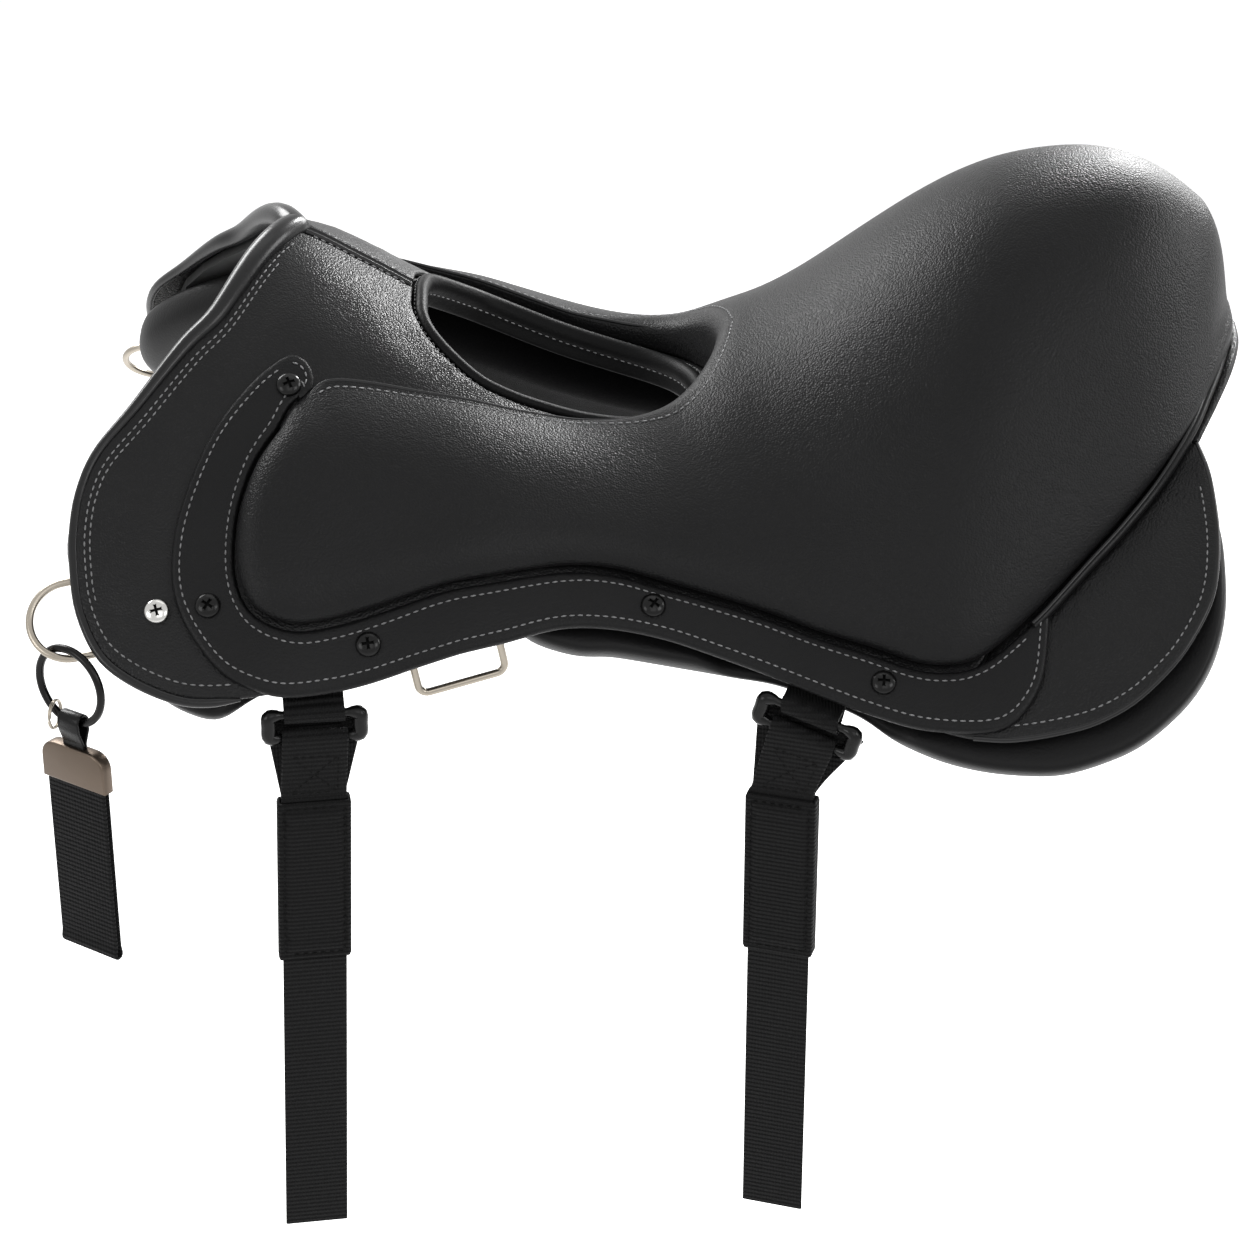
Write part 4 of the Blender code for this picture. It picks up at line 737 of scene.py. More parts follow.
slot_back = [(x + 3, y + 2) for x, y in SLOT if x >= 0][-2::-1]
runs = [smooth_run([(40, 0), *slot_back, (-20, 55)], LINE_STEP), smooth_run(SKIRT_SEAM, LINE_STEP)[::-1],
        *(smooth_run(line, LINE_STEP) for line in (WAIST_EDGE, REAR_SEAM, BACK_EDGE))]
half = np.vstack([run[:-1] for run in runs] + [runs[-1][-1:]])
base_outline = inset(for_side(np.vstack([half, half[::-1][1:-1] * MIRROR[-1]]), 1), CUT_GAP)
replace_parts(laid("ground_seat_leather", base_outline, EDGE_RIMS, SEAT_STEP,
                 lambda plan: slicked(distance_to(base_outline, plan), BASE_LOW, BASE_HIGH),
                 BASE_LOW, skirt_leather), "seat_base")
print("base layer laid, skirt pieces:", 2 * len(SKIRTS))

# %% [markdown]
# ## Rails
# On each side a band of 3 mm leather frames the cushion. Its edges are rounded over and it
# is sewn along both sides. We cut it as one piece with the cushion's own outline as its
# inner edge, so that the dark gap between them stays even.

# %% rails
RAIL_RIMS, RAIL_PUFF, RAIL_GAP = (0.0005, 0.0012, 0.0021), 0.0005, 0.0012
inner = smooth_run(CUSHION_OUT, 0.004)
outward = inset(np.vstack([inner, [[0.0, 0.0]]]), -RAIL_GAP)[1:-1]
outward = outward[outward[:, 0] < 0.180]
rail_out, rail_top = smooth_run(RAIL_OUT, 0.004), smooth_run(RAIL_TOP, 0.004)
outward = np.vstack([rail_top[:1], outward, rail_out[-1:]])
rail_half = np.vstack([rail_out[:-1], outward[::-1][:-1], rail_top[:-1]])
for side, word in SIDES:
    outline = for_side(rail_half, side)

    def top(plan, outline=outline):
        distance = distance_to(outline, plan)
        edge = slicked(distance, OVER_LOW, RAIL_HIGH, 0.0020)
        return edge + RAIL_PUFF * ease((distance - 0.0022) / 0.0045)

    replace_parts(laid(f"rail_leather_{word}", outline, RAIL_RIMS, SHEET_STEP, top, OVER_LOW, rail_leather),
                f"rail_{word}")
print("rails laid, outline points:", len(rail_half))

# %% [markdown]
# ## The seat cushion
# The seat is a block of firm foam under tight leather: two arms beside the slot, a waist,
# and a high cantle. Its top is lifted straight up by the stations we measured, its rim is
# a quarter round, and the underside is tucked in, so that a dark gap shows along the rail.
# Towards the slot the rim widens into a broad roll. A subdivision surface makes it supple.

# %% cushion shape
CUSHION_RIMS = (0.0007, 0.0016, 0.0027, 0.0039, 0.0053, 0.0070, 0.0090, 0.0115, 0.0145)
CUSHION_STEP, CUSHION_TUCK = 0.0085, 0.0026
cushion_out = smooth_run(CUSHION_OUT, 0.0045)
cushion_in = smooth_run(CUSHION_IN, 0.0045)
outer_line = np.vstack([cushion_out, (cushion_out[::-1] * MIRROR[-1])[1:]])
inner_line = np.vstack([(cushion_in[::-1] * MIRROR[-1])[1:-1], cushion_in[:-1]])
cushion_outline = for_side(np.vstack([outer_line, inner_line]), 1)


def inner_reach(x):
    """Width of the roll towards the slot: a narrow fold on the arms, broad behind the slot."""
    return 0.0026 + 0.0075 * ease((x + 0.020) / 0.040) - 0.0045 * ease((x - 0.022) / 0.018)


def cushion_top(plan):
    """Depth of the cushion's top: a rolled rim, a fold along the slot and a low crown."""
    from_out = distance_to(outer_line, plan, closed=False)
    from_in = distance_to(inner_line, plan, closed=False)
    x = plan[:, 0]
    reach = inner_reach(x)
    behind = ease((x - 0.200) / 0.060)
    rim = 0.30 + 0.28 * behind
    roll = rim + (1 - rim) * quarter(from_out / (0.0125 - 0.0065 * behind))
    on_arm = 1 - ease((x + 0.034) / 0.050)
    wall = 0.42 - 0.07 * on_arm
    fold = quarter(from_in / reach)
    climb = (1 - on_arm) * fold + on_arm * (0.16 * fold + 0.84 * ease(0.18 + from_in / 0.036))
    crown = CROWN * np.minimum(np.minimum(from_out, from_in), 0.030) / 0.030
    seam = np.exp(-((from_in - reach - 0.0010) / 0.0016) ** 2) * ease(from_out / 0.015)
    return OVER_LOW + CUSHION_THICK * roll * (wall + (1 - wall) * climb) + crown - 0.0006 * seam


def cushion_rise(plan):
    share = np.clip(1 - (np.abs(plan[:, 1]) / seat_half(plan[:, 0])) ** 2.5, 0, 1)
    return seat_rise(plan[:, 0]) * share ** 1.5


cushion = laid("seat_cushion", cushion_outline, CUSHION_RIMS, CUSHION_STEP, cushion_top, OVER_LOW,
               seat_leather, rise=cushion_rise, tucked=CUSHION_TUCK, angle=60, eased=True)
soften(cushion)
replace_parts(cushion, "seat_cover", "seat_foam")
print("cushion faces:", len(cushion.data.polygons))

# %% [markdown]
# ## Panels
# Under the tree lie two flocked panels. From the side only their rounded rims show below
# the skirts. Each is a tray of soft leather, swollen below and tucked in at the top.

# %% panels
PAD_RIMS, PAD_STEP = (0.0012, 0.003, 0.0056, 0.009, 0.013, 0.0165), 0.012
PAD_ROLL, PAD_SIDE = 0.016, 0.0095      # width of the rounded rim, height of the side above it
FELT_HALF, FELT_FRONT, FELT_BACK = 0.125, -0.150, 0.080
DIPS = [(-0.232, 0.155, 0.027), (-0.139, 0.168, 0.034), (0.082, 0.160, 0.036)]
channel_felt = leather("channel felt", 0.0035, (0.75, 0.9), strength=0.5, cells=2400.0, shine=0.03)
for side, word in SIDES:
    outline = for_side(smooth_run(PANEL_EDGE, 0.006, closed=True), side)

    def belly(plan, outline=outline):
        away = distance_to(outline, plan)
        swell = CROWN * np.minimum(away, 0.040) / 0.040
        return (PANEL_HIGH - PAD_SIDE - (PANEL_THICK - PAD_SIDE - CROWN) * quarter(away / PAD_ROLL)
                - swell)

    def roof(plan, outline=outline, side=side):
        """Upper side, which dips where a dee or a girth point is fixed to the tree."""
        dip = np.zeros(len(plan))
        for x, y, reach in DIPS:
            away = np.hypot(plan[:, 0] - x, plan[:, 1] * side - y)
            dip = np.maximum(dip, ease((reach + 0.014 - away) / 0.014))
        return PANEL_HIGH - 0.0062 * dip - 0.0022 * (1 - quarter(distance_to(outline, plan) / 0.004))

    pad = laid(f"panel_pad_{word}", outline, PAD_RIMS, PAD_STEP, belly, roof, panel_leather,
               angle=60, eased=True)
    pad.data.materials.append(channel_felt)
    for face in pad.data.polygons:
        if abs(face.center.y) < FELT_HALF and FELT_FRONT < face.center.x < FELT_BACK:
            face.material_index = 1
    soften(pad)
    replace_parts(pad, f"panel_cover_{word}", f"panel_foam_{word}")
print("panels laid")

# %% [markdown]
# ## Welts and piping
# Over the pommel the skirts are bound with a thick glossy roll, which thins into piping
# down the flaps. Thin piping also closes the rear skirts and the base of the seat. Each
# is a tube whose radius changes along its path, laid just outside the cut edge.

# %% front roll
def edge_points(run, side, depth, away):
    """Points on an edge of the saddle, moved outward along the surface by a distance each."""
    flat = run * MIRROR[side]
    up = normals(flat[:, 0], flat[:, 1])
    out = unit(np.cross(unit(np.gradient(lay(flat, 0.0), axis=0)), up) * -side)
    if abs(run[0][1]) < 1e-9:
        ahead = np.array([-1.0, 0.0, 0.0])
        out[0] = unit(ahead - up[0] * ahead.dot(up[0]))
    return lay(flat, depth) + out * np.broadcast_to(away, len(run))[:, None]


run = smooth_run([(-153.5, 0), *FRONT_EDGE[1:-1]], 0.0035)
radius = PIPING + (POMMEL_ROLL - PIPING) * ease((0.120 - run[:, 1]) / 0.120)
radius[-4:] = PIPING * np.array([0.95, 0.8, 0.6, 0.35])
near, far = (edge_points(run, side, 0.0013, 0.6 * radius - 0.0006) for side in (-1, 1))
roll = tube("front_roll", np.vstack([near[::-1], far[1:]]), np.concatenate([radius[::-1], radius[1:]]),
            rolled_leather, sides=18)
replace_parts(roll, "front_welt")

# %% piping behind the seat and round the rear skirts
run = smooth_run([(183, 144.6), (190, 140.0), (209, 125.8), (227, 112.6), (244.6, 96.8), (261, 75.6),
                  (270, 58.6), (278, 40.6), (284, 20), (285.5, 0)], 0.004)
rows = np.vstack([run * MIRROR[-1], run[::-1][1:]])
seat_piping = tube("seat_piping", lay(rows, BASE_HIGH + 0.0026), 0.0025, strap_leather, sides=14)
tube("seat_bead", lay(rows, BASE_HIGH + 0.0053), 0.0011, rolled_leather, sides=10)
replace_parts(seat_piping, "seat_welt")
rear_run = smooth_run(REAR_EDGE[:-1], 0.004)
for side, word in SIDES:
    tube(f"rear_piping_{word}", edge_points(rear_run, side, 0.0014, 0.0012), 0.0015, rolled_leather, sides=10)
print("welts made")

# %% [markdown]
# ## Slot lining and pommel strip
# The slot keeps the spine cool. Leather is rolled over its edge and sewn down inside. Its
# section is a smooth closed curve, which we repeat round the slot. The strip that joins
# the two skirts over the pommel is a narrow double welt.

# %% slot lining
LIP = [(1.6, -5.4), (1.6, 0.4), (0.9, 2.9), (-0.8, 4.1), (-2.9, 3.5), (-4.4, 1.3), (-4.9, -1.6),
       (-4.3, -4.3), (-3.3, -5.5), (-3.2, -11.0), (-2.2, -11.4), (-1.8, -7.0), (0.0, -5.7)]
profile = rounded_path(LIP, 0.6, closed=True) * MM
slot_run = for_side(smooth_run(both_sides(SLOT), 0.0045, closed=True), 1)
rows = np.stack([lay(inset(slot_run, -away), depth) for away, depth in profile], axis=1)
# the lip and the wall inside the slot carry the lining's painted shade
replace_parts(swept("slot_lip", rows, lining_leather_painted_shade, around=True, along=True, angle=70), "slot_lining")

# %% strip over the pommel
STRIP_FRONT, STRIP_BACK = -0.1520, -0.1035
STRIP = [(-3.4, -0.1), (-3.6, 1.8), (-3.0, 3.3), (-2.1, 3.5), (-1.2, 2.6), (0.0, 2.3),
         (1.2, 2.6), (2.1, 3.5), (3.0, 3.3), (3.6, 1.8), (3.4, -0.1)]
section = rounded_path(STRIP, 0.4) * MM
rows = [lay(np.stack([np.full(len(section), x), section[:, 0]], axis=1), section[:, 1])
        for x in np.linspace(STRIP_FRONT, STRIP_BACK, 24)]
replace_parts(swept("pommel_strip", rows, rolled_leather, around=True, capped=True, angle=70),
            "centre_strip")
print("lining rows:", len(slot_run))

# %% [markdown]
# ## Stitches
# Thick grey thread runs just inside every edge, about seven stitches to the inch. A stitch
# is a small ellipsoid with a few faces, pulled a little into the leather. We place one at
# every pitch along a run, turned along the seam and flat on the surface.

# %% thread
TWISTS = 1500.0
thread_group, come, out = new_group("twisted thread", [("Twists", TWISTS)], ["Height", "Fray"])
spot = add(thread_group, "ShaderNodeTexCoord")
twist = add(thread_group, "ShaderNodeTexWave")
twist.inputs["Distortion"].default_value = 2.0
join(thread_group, come.outputs["Twists"], twist.inputs["Scale"])
fray = noise(thread_group, 300.0)
for texture in (twist, fray):
    join(thread_group, spot.outputs["Object"], texture.inputs["Vector"])
join(thread_group, twist.outputs["Fac"], out.inputs["Height"])
join(thread_group, fray.outputs["Fac"], out.inputs["Fray"])
grey_thread = patterned("grey thread", thread_group, {"Twists": TWISTS}, (0.30, 0.30, 0.305),
                        (0.62, 0.62, 0.63), (0.6, 0.8), (0.5, 0.0002), "Fray", shine=0.2)
black_thread = patterned("black thread", thread_group, {"Twists": TWISTS}, (0.006, 0.006, 0.006),
                         (0.014, 0.014, 0.014), (0.5, 0.65), (0.5, 0.0002), "Fray", shine=0.08)


def sew(shape, points, ups, pitch=0.0038, length=0.0029, thick=0.00042):
    """Stitches along points in space, with the direction of the surface at each."""
    both = even(np.hstack([points, ups]), 0.0005)
    travel = way_along(both[:, :3])
    for start in np.arange(0.5 * (pitch - length), travel[-1] - length, pitch):
        first, last = (np.array([np.interp(at, travel, both[:, k]) for k in range(6)])
                       for at in (start, start + length))
        along = Vector(last[:3] - first[:3]).normalized()
        across = Vector(first[3:] + last[3:]).normalized().cross(along).normalized()
        middle = Vector((first[:3] + last[:3]) / 2)
        turn = Matrix((along, across, along.cross(across))).transposed().to_4x4()
        size = Matrix.Diagonal((length / 2, thick, thick, 1.0))
        bmesh.ops.create_icosphere(shape, subdivisions=1, radius=1.0,
                                   matrix=Matrix.Translation(middle) @ turn @ size)


def sew_plan(shape, run, depth):
    """Stitches along plan points, lying on a layer's top."""
    sew(shape, lay(run, depth), normals(run[:, 0], run[:, 1]))


# %% seams on skirts and rails
THREAD_UP = 0.00008
RAIL_SEAM, RAIL_SPLIT, SEAM_BREAK = 0.0036, 0.0045, 0.012
FRONT_SEAMS = ((0.0046, 0.0, 1.0), (0.0070, 0.06, 0.66))    # inset, and the share sewn
REAR_SEAM_INSET = 0.0052
seams = bmesh.new()
for side, word in SIDES:
    flip = MIRROR[side]
    top = skirt_top(inset(for_side(SKIRTS["front"], side), CUT_GAP), side)
    edge = np.vstack([smooth_run([(-157, 9), *FRONT_EDGE[1:]], 0.003), [[-0.13, 0.10]]])
    for away, first, last in FRONT_SEAMS:
        line = inset(edge, away)[2:-2] * flip
        line = line[int(first * len(line)):int(last * len(line))]
        line = line[~inside(rail_line, line * flip)]
        sew_plan(seams, line, top(line) + THREAD_UP)
    top = skirt_top(inset(for_side(SKIRTS["rear"], side), CUT_GAP), side)
    edge = np.vstack([smooth_run(REAR_EDGE[1:-1], 0.003), [[0.20, 0.13]]])
    line = inset(edge, REAR_SEAM_INSET)[2:-2] * flip
    sew_plan(seams, line, top(line) + THREAD_UP)
    ring = inset(for_side(rail_half, 1), RAIL_SEAM)
    is_outer = distance_to(rail_out, ring, closed=False) < RAIL_SPLIT
    for part in (ring[is_outer], ring[~is_outer]):
        jumps = np.nonzero(np.linalg.norm(np.diff(part, axis=0), axis=1) > SEAM_BREAK)[0] + 1
        for piece in np.split(part, jumps):
            if len(piece) > 3:
                sew_plan(seams, piece * flip, RAIL_HIGH + 0.00015 + THREAD_UP)
print("stitch faces on skirts and rails:", len(seams.faces))

# %% seams on the cushion, along the slot
ABOVE = 0.040       # height from which we look down on the cushion
ARM_PIPING = 0.0010
bpy.context.view_layer.update()
cushion_skin = BVHTree.FromObject(cushion, bpy.context.evaluated_depsgraph_get())


def on_cushion(run):
    """Points of the cushion's skin over plan points, found by looking down, and its normals."""
    points, ups = [], []
    for start, up in zip(lay(run, ABOVE, cushion_rise(run)), normals(run[:, 0], run[:, 1])):
        hit, normal, _, _ = cushion_skin.ray_cast(Vector(start), -Vector(up))
        if hit is not None:
            points.append(hit + normal * THREAD_UP)
            ups.append(normal)
    return np.array(points), np.array(ups)


arms = smooth_run(CUSHION_IN, 0.003)
way = unit(np.gradient(arms, axis=0))
to_cushion = np.stack([-way[:, 1], way[:, 0]], axis=1)
if to_cushion[len(arms) // 2][1] < 0:
    to_cushion = -to_cushion
line = arms + to_cushion * (0.0012 + inner_reach(arms[:, 0]))[:, None]
fold = (arms + to_cushion * 0.0008)[arms[:, 0] < 0.010]
for side in (1, -1):
    sew(seams, *on_cushion(line * MIRROR[side]))
for side, word in SIDES:
    points, ups = on_cushion(fold * MIRROR[side])
    radius = np.full(len(points), ARM_PIPING)
    radius[:4] = radius[-4:][::-1] = ARM_PIPING * np.array([0.3, 0.6, 0.8, 0.95])
    tube(f"arm_piping_{word}", points - ups * 0.0004, radius, rolled_leather, sides=10)
for beside in (-0.0056, 0.0056):
    strip_run = np.array([(x, beside) for x in np.linspace(-0.149, -0.106, 16)])
    sew_plan(seams, strip_run, BASE_HIGH + THREAD_UP)
finished("grey_seams", seams, grey_thread)

# %% seams inside the slot
SLOT_CENTRE = np.array([-0.03, 0.0])
slot_seams = bmesh.new()
for away, depth, turned in ((-4.0, -5.1, -1), (1.75, 1.2, 1)):
    line = inset(slot_run, -away * MM)
    line = np.vstack([line, line[:1]])
    out = np.column_stack([unit(line - SLOT_CENTRE) * turned, np.zeros(len(line))])
    sew(slot_seams, lay(line, depth * MM), out, pitch=0.0036, length=0.0023, thick=0.0003)
finished("slot_seams", slot_seams, grey_thread)
print("seams sewn")

# %% [markdown]
# ## Screws
# Five domed black screws hold each rail and one bright one holds each flap to the tree
# point. A head is a spun profile with a cross recess. We spin the profile once, cut the
# cross out of it with a boolean, and copy the head to its places.

# %% a cross-head screw
SPIN_STEPS, HEAD_FLAT, SHANK = 40, 0.9, 0.0020
CROSS_LONG, CROSS_SLIM = 0.92, 0.22     # length and width of the recess, shared by both bars


def screw_head(radius, height, floor_depth):
    """Head on z = 0 with its shank below, spun from its profile."""
    head = bmesh.new()
    profile = [(SHANK, floor_depth), (SHANK, 0.0), (radius * 0.97, 0.0), (radius, height * 0.12)]
    for turn in np.radians([12, 26, 42, 58, 72, 82]):
        profile.append((radius * math.cos(turn) * HEAD_FLAT + radius * (1 - HEAD_FLAT) * (1 - turn / 1.6),
                        height * (0.12 + 0.88 * math.sin(turn))))
    vertices = [head.verts.new((r, 0.0, z)) for r, z in profile]
    edges = [head.edges.new(pair) for pair in zip(vertices, vertices[1:])]
    bmesh.ops.spin(head, geom=vertices + edges, cent=(0, 0, 0), axis=(0, 0, 1), dvec=(0, 0, 0),
                   angle=2 * math.pi, steps=SPIN_STEPS, use_merge=True, use_duplicate=False)
    bmesh.ops.holes_fill(head, edges=[edge for edge in head.edges if edge.is_boundary], sides=0)
    bmesh.ops.recalc_face_normals(head, faces=head.faces[:])
    mesh = bpy.data.meshes.new("head")
    head.to_mesh(mesh)
    head.free()
    return mesh


def cut_cross(mesh, radius, height):
    """Cross recess, cut with a boolean whose cutter is taken away again."""
    cutter = bmesh.new()
    for turn in (0.0, math.pi / 2):
        bar = Matrix.Diagonal((radius * CROSS_LONG, radius * CROSS_SLIM, height, 1.0))
        bmesh.ops.create_cube(cutter, size=1.0, matrix=Matrix.Translation((0, 0, height))
                              @ Matrix.Rotation(turn, 4, "Z") @ bar)
    tool_mesh = bpy.data.meshes.new("cross")
    cutter.to_mesh(tool_mesh)
    cutter.free()
    tool = bpy.data.objects.new("cross", tool_mesh)
    blank = bpy.data.objects.new("blank", mesh)
    for item in (tool, blank):
        bpy.context.scene.collection.objects.link(item)
    cut = blank.modifiers.new("cross", "BOOLEAN")
    cut.operation, cut.solver, cut.object, cut.use_self = "DIFFERENCE", "EXACT", tool, True
    solid = bpy.data.meshes.new_from_object(blank.evaluated_get(bpy.context.evaluated_depsgraph_get()))
    long, slim = radius * CROSS_LONG / 2 + 0.00002, radius * CROSS_SLIM / 2 + 0.00002
    # faces inside the cross get the second material, painted shade in the recess
    for face in solid.polygons:
        x, y, z = abs(face.center.x), abs(face.center.y), face.center.z
        if 0 < z < height * 0.98 and ((x < long and y < slim) or (y < long and x < slim)):
            face.material_index = 1
    for item in (tool, blank):
        bpy.data.objects.remove(item, do_unlink=True)
    return solid


def screws(name, head, points, side, depth, spin_by, shade):
    """Copies of a head at plan points, each standing on the surface and turned a little further."""
    heads = bmesh.new()
    for number, (x, y) in enumerate(points):
        foot = Vector(spot_on(x, y, side, depth))
        up = Vector(normals(np.array([x * MM]), np.array([side * y * MM]))[0])
        tilt = up.to_track_quat("Z", "Y").to_matrix().to_4x4()
        placed = head.copy()
        placed.transform(Matrix.Translation(foot) @ tilt @ Matrix.Rotation(spin_by + 0.7 * number, 4, "Z"))
        heads.from_mesh(placed)
    piece = finished(name, heads, shade, angle=35)
    # the second material paints shade into the cross recess
    piece.data.materials.append(recess_painted_shade)
    return piece


black_enamel = grained("black enamel", 500.0, (0.004, 0.004, 0.004), (0.010, 0.010, 0.010), (0.14, 0.26),
                       (0.05, 0.0002), shine=0.22)
polished = grained("polished steel", 600.0, (0.42, 0.415, 0.40), (0.70, 0.69, 0.67), (0.10, 0.24),
                   (0.04, 0.0001), metallic=1.0)
# near-black inside the cross recess: painted shade where the hollow is shaded
recess_painted_shade = grained("painted recess shade", 1500.0, (0.003, 0.003, 0.003), (0.008, 0.008, 0.008), (0.55, 0.7),
                      (0.1, 0.0001), shine=0.05)
dome = cut_cross(screw_head(0.0058, 0.0032, -0.0120), 0.0058, 0.0032)
disc = cut_cross(screw_head(0.0056, 0.0024, -0.0080), 0.0056, 0.0024)
for side, word in SIDES:
    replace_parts(screws(f"rail_screws_{word}", dome, RAIL_SCREWS, side, RAIL_HIGH + 0.0006, 0.3, black_enamel),
                *[f"rail_screw_{word}_{number}" for number in range(1, 6)])
    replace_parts(screws(f"tree_point_screw_{word}", disc, [POINT_SCREW], side, BASE_HIGH + 0.0012, 0.25,
                       polished), f"point_screw_{word}")
print("screw faces:", len(dome.polygons), len(disc.polygons))

# %% [markdown]
# ## Rings
# The dees, the key ring and the two rectangular rings are bent wire. We draw the path of
# each wire in the plane of its ring and sweep a round section along it. Satin nickel is
# warmer than steel, and fine scratches make its gloss uneven.

# %% metals
satin_nickel = grained("satin nickel", 900.0, (0.24, 0.21, 0.17), (0.46, 0.42, 0.36), (0.22, 0.38),
                       (0.05, 0.0001), metallic=1.0)
black_nickel = grained("black nickel", 900.0, (0.012, 0.012, 0.012), (0.030, 0.029, 0.029), (0.20, 0.34),
                       (0.04, 0.0001), metallic=1.0)
clasp_metal = grained("clasp metal", 1300.0, (0.095, 0.074, 0.058), (0.165, 0.130, 0.103), (0.30, 0.44),
                      (0.06, 0.0001), metallic=1.0)


def arc(centre, radius, start, end, count):
    turn = np.radians(np.linspace(start, end, count))
    return [(centre[0] + radius * math.cos(t), centre[1] + radius * math.sin(t)) for t in turn]


print("metals:", satin_nickel.name, black_nickel.name, clasp_metal.name)

# %% dees
DEE_WIRE, DEE_LENGTH, DEE_REACH = 0.0018, 0.0390, 0.0320
DEE_HALF, DEE_LEG = DEE_LENGTH / 2 - DEE_WIRE, DEE_REACH - DEE_LENGTH / 2


def dee_frame(side):
    """Middle of a dee's straight bar, its direction down the flap's edge, its reach and the normal."""
    centre = spot_on(-236.5, 157, side, -0.0046)
    upper, lower = spot_on(-246.5, 138, side, 0.0), spot_on(-237.0, 166, side, 0.0)
    down = unit(lower - upper)
    up = normals(np.array([-0.2365]), np.array([0.157 * side]))[0]
    forward = unit(np.cross(down, up))
    return centre, down, forward if forward[0] < 0 else -forward, up


for side, word in SIDES:
    centre, down, forward, up = dee_frame(side)
    path = [(DEE_HALF * t, 0.0) for t in np.linspace(-0.88, 0.88, 12)]
    path += arc((DEE_HALF - 0.0030, 0.0030), 0.0030, -60, 0, 5)
    path += [(DEE_HALF * math.sin(t), DEE_LEG + DEE_HALF * math.cos(t))
             for t in np.radians(np.linspace(90, -90, 40))]
    path += arc((-DEE_HALF + 0.0030, 0.0030), 0.0030, 180, 240, 5)
    points = [centre + down * d + forward * f for d, f in path]
    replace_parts(tube(f"dee_wire_{word}", points, DEE_WIRE, satin_nickel, closed=True, sides=16,
                     body=f"dee_{word}"), f"dee_{word}")

# %% key ring and split ring
RING_WIRE, RING_RADIUS, RING_SLACK = 0.0019, 0.0183, 0.0009
RING_TURN = math.radians(34)
centre, down, forward, up = dee_frame(-1)
turn = math.atan2(-down[2], -forward[2])
hang = centre + forward * DEE_LEG + (down * math.sin(turn) + forward * math.cos(turn)) * DEE_HALF
across = np.array([math.cos(RING_TURN), -math.sin(RING_TURN), 0.0])
outward = np.array([-math.sin(RING_TURN), -math.cos(RING_TURN), 0.0])
ring_centre = hang + UP * (DEE_WIRE + RING_WIRE + RING_SLACK - RING_RADIUS)
turns = np.arange(72) * 2 * math.pi / 72
circle = [ring_centre + RING_RADIUS * (across * math.cos(t) + UP * math.sin(t)) for t in turns]
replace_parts(tube("key_ring", circle, RING_WIRE, black_nickel, closed=True, sides=16, body="o_ring"), "o_ring")
TAG_AT = ring_centre - UP * RING_RADIUS

SPLIT_PLACE, SPLIT_RADIUS, SPLIT_WIRE = 0.0110, 0.0064, 0.0006
climb = RING_RADIUS - math.sqrt(RING_RADIUS ** 2 - SPLIT_PLACE ** 2)
held = TAG_AT - across * SPLIT_PLACE + UP * climb
tall = RING_WIRE / math.sqrt(1 - (SPLIT_PLACE / RING_RADIUS) ** 2)
hoop = held - UP * (SPLIT_RADIUS - tall - SPLIT_WIRE - 0.0007)
sideways = unit(across * math.sin(math.radians(20)) + outward * math.cos(math.radians(20)))
through = np.cross(sideways, UP)
double = []
for t in np.linspace(0.15, 4 * math.pi - 0.15, 90):
    step_over = 0.0007 * (ease((t - 2 * math.pi + 0.5) / 1.0) - 0.5)
    double.append(hoop + SPLIT_RADIUS * (sideways * math.cos(t) + UP * math.sin(t)) + through * step_over)
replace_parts(tube("split_ring_wire", double, SPLIT_WIRE * 0.9, satin_nickel, sides=10, body="split_ring"),
            "split_ring")


# %% rectangular rings
def bar_frame(first, second):
    """Middle of a bar, its level and outward directions, its axis and its length."""
    middle, way = (first + second) / 2, second - first
    level = unit(np.array([way[0], way[1], 0.0]))
    outward = np.array([0.0, math.copysign(1, middle[1]), 0.0])
    outward = unit(outward - level * outward.dot(level))
    return middle, level, outward, unit(way), np.linalg.norm(way)


STIRRUP_WIRE, STIRRUP_DROP, STIRRUP_DEPTH = 0.0018, 0.0190, -0.0090


def stirrup_bar(side):
    """Middle of a stirrup ring's upper bar, its axis, the way down and half its length."""
    ends = (spot_on(x, y, side, STIRRUP_DEPTH) for x, y in ((-99, 163.5), (-55, 153.5)))
    middle, level, outward, axis, length = bar_frame(*ends)
    return middle, axis, unit(-UP + axis * axis[2]), length / 2 - STIRRUP_WIRE


for side, word in SIDES:
    middle, axis, down, half = stirrup_bar(side)
    corner = 0.0045
    path = [(u, 0.0) for u in np.linspace(-half + 2 * corner, half - 2 * corner, 9)]
    path += arc((half - corner, corner), corner, -90, 0, 8)
    path += arc((half - corner, STIRRUP_DROP - corner), corner, 0, 90, 8)
    path += [(u, STIRRUP_DROP) for u in np.linspace(half - 2 * corner, -half + 2 * corner, 9)]
    path += arc((-half + corner, STIRRUP_DROP - corner), corner, 90, 180, 8)
    path += arc((-half + corner, corner), corner, 180, 270, 8)
    points = [middle + axis * u + down * w for u, w in path]
    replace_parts(tube(f"stirrup_ring_wire_{word}", points, STIRRUP_WIRE, satin_nickel, closed=True, sides=16,
                     body=f"stirrup_ring_{word}"), f"stirrup_ring_{word}")
print("rings bent, key ring centre:", [round(float(c), 3) for c in ring_centre])

# %% [markdown]
# ## Straps, loops and tabs
# Webbing and leather straps are ribbons with rounded edges. We draw a strap's side view as
# a path of points, outward and up, and repeat a flat rounded section along it. A function
# turns width, outward distance and height into a place, so the same ribbon can hang,
# lean or lie round a bar.

# %% ribbon
def left_of(line):
    """Direction to the left of a flat line at each of its points."""
    way = unit(np.gradient(line, axis=0))
    return np.stack([-way[:, 1], way[:, 0]], axis=1)


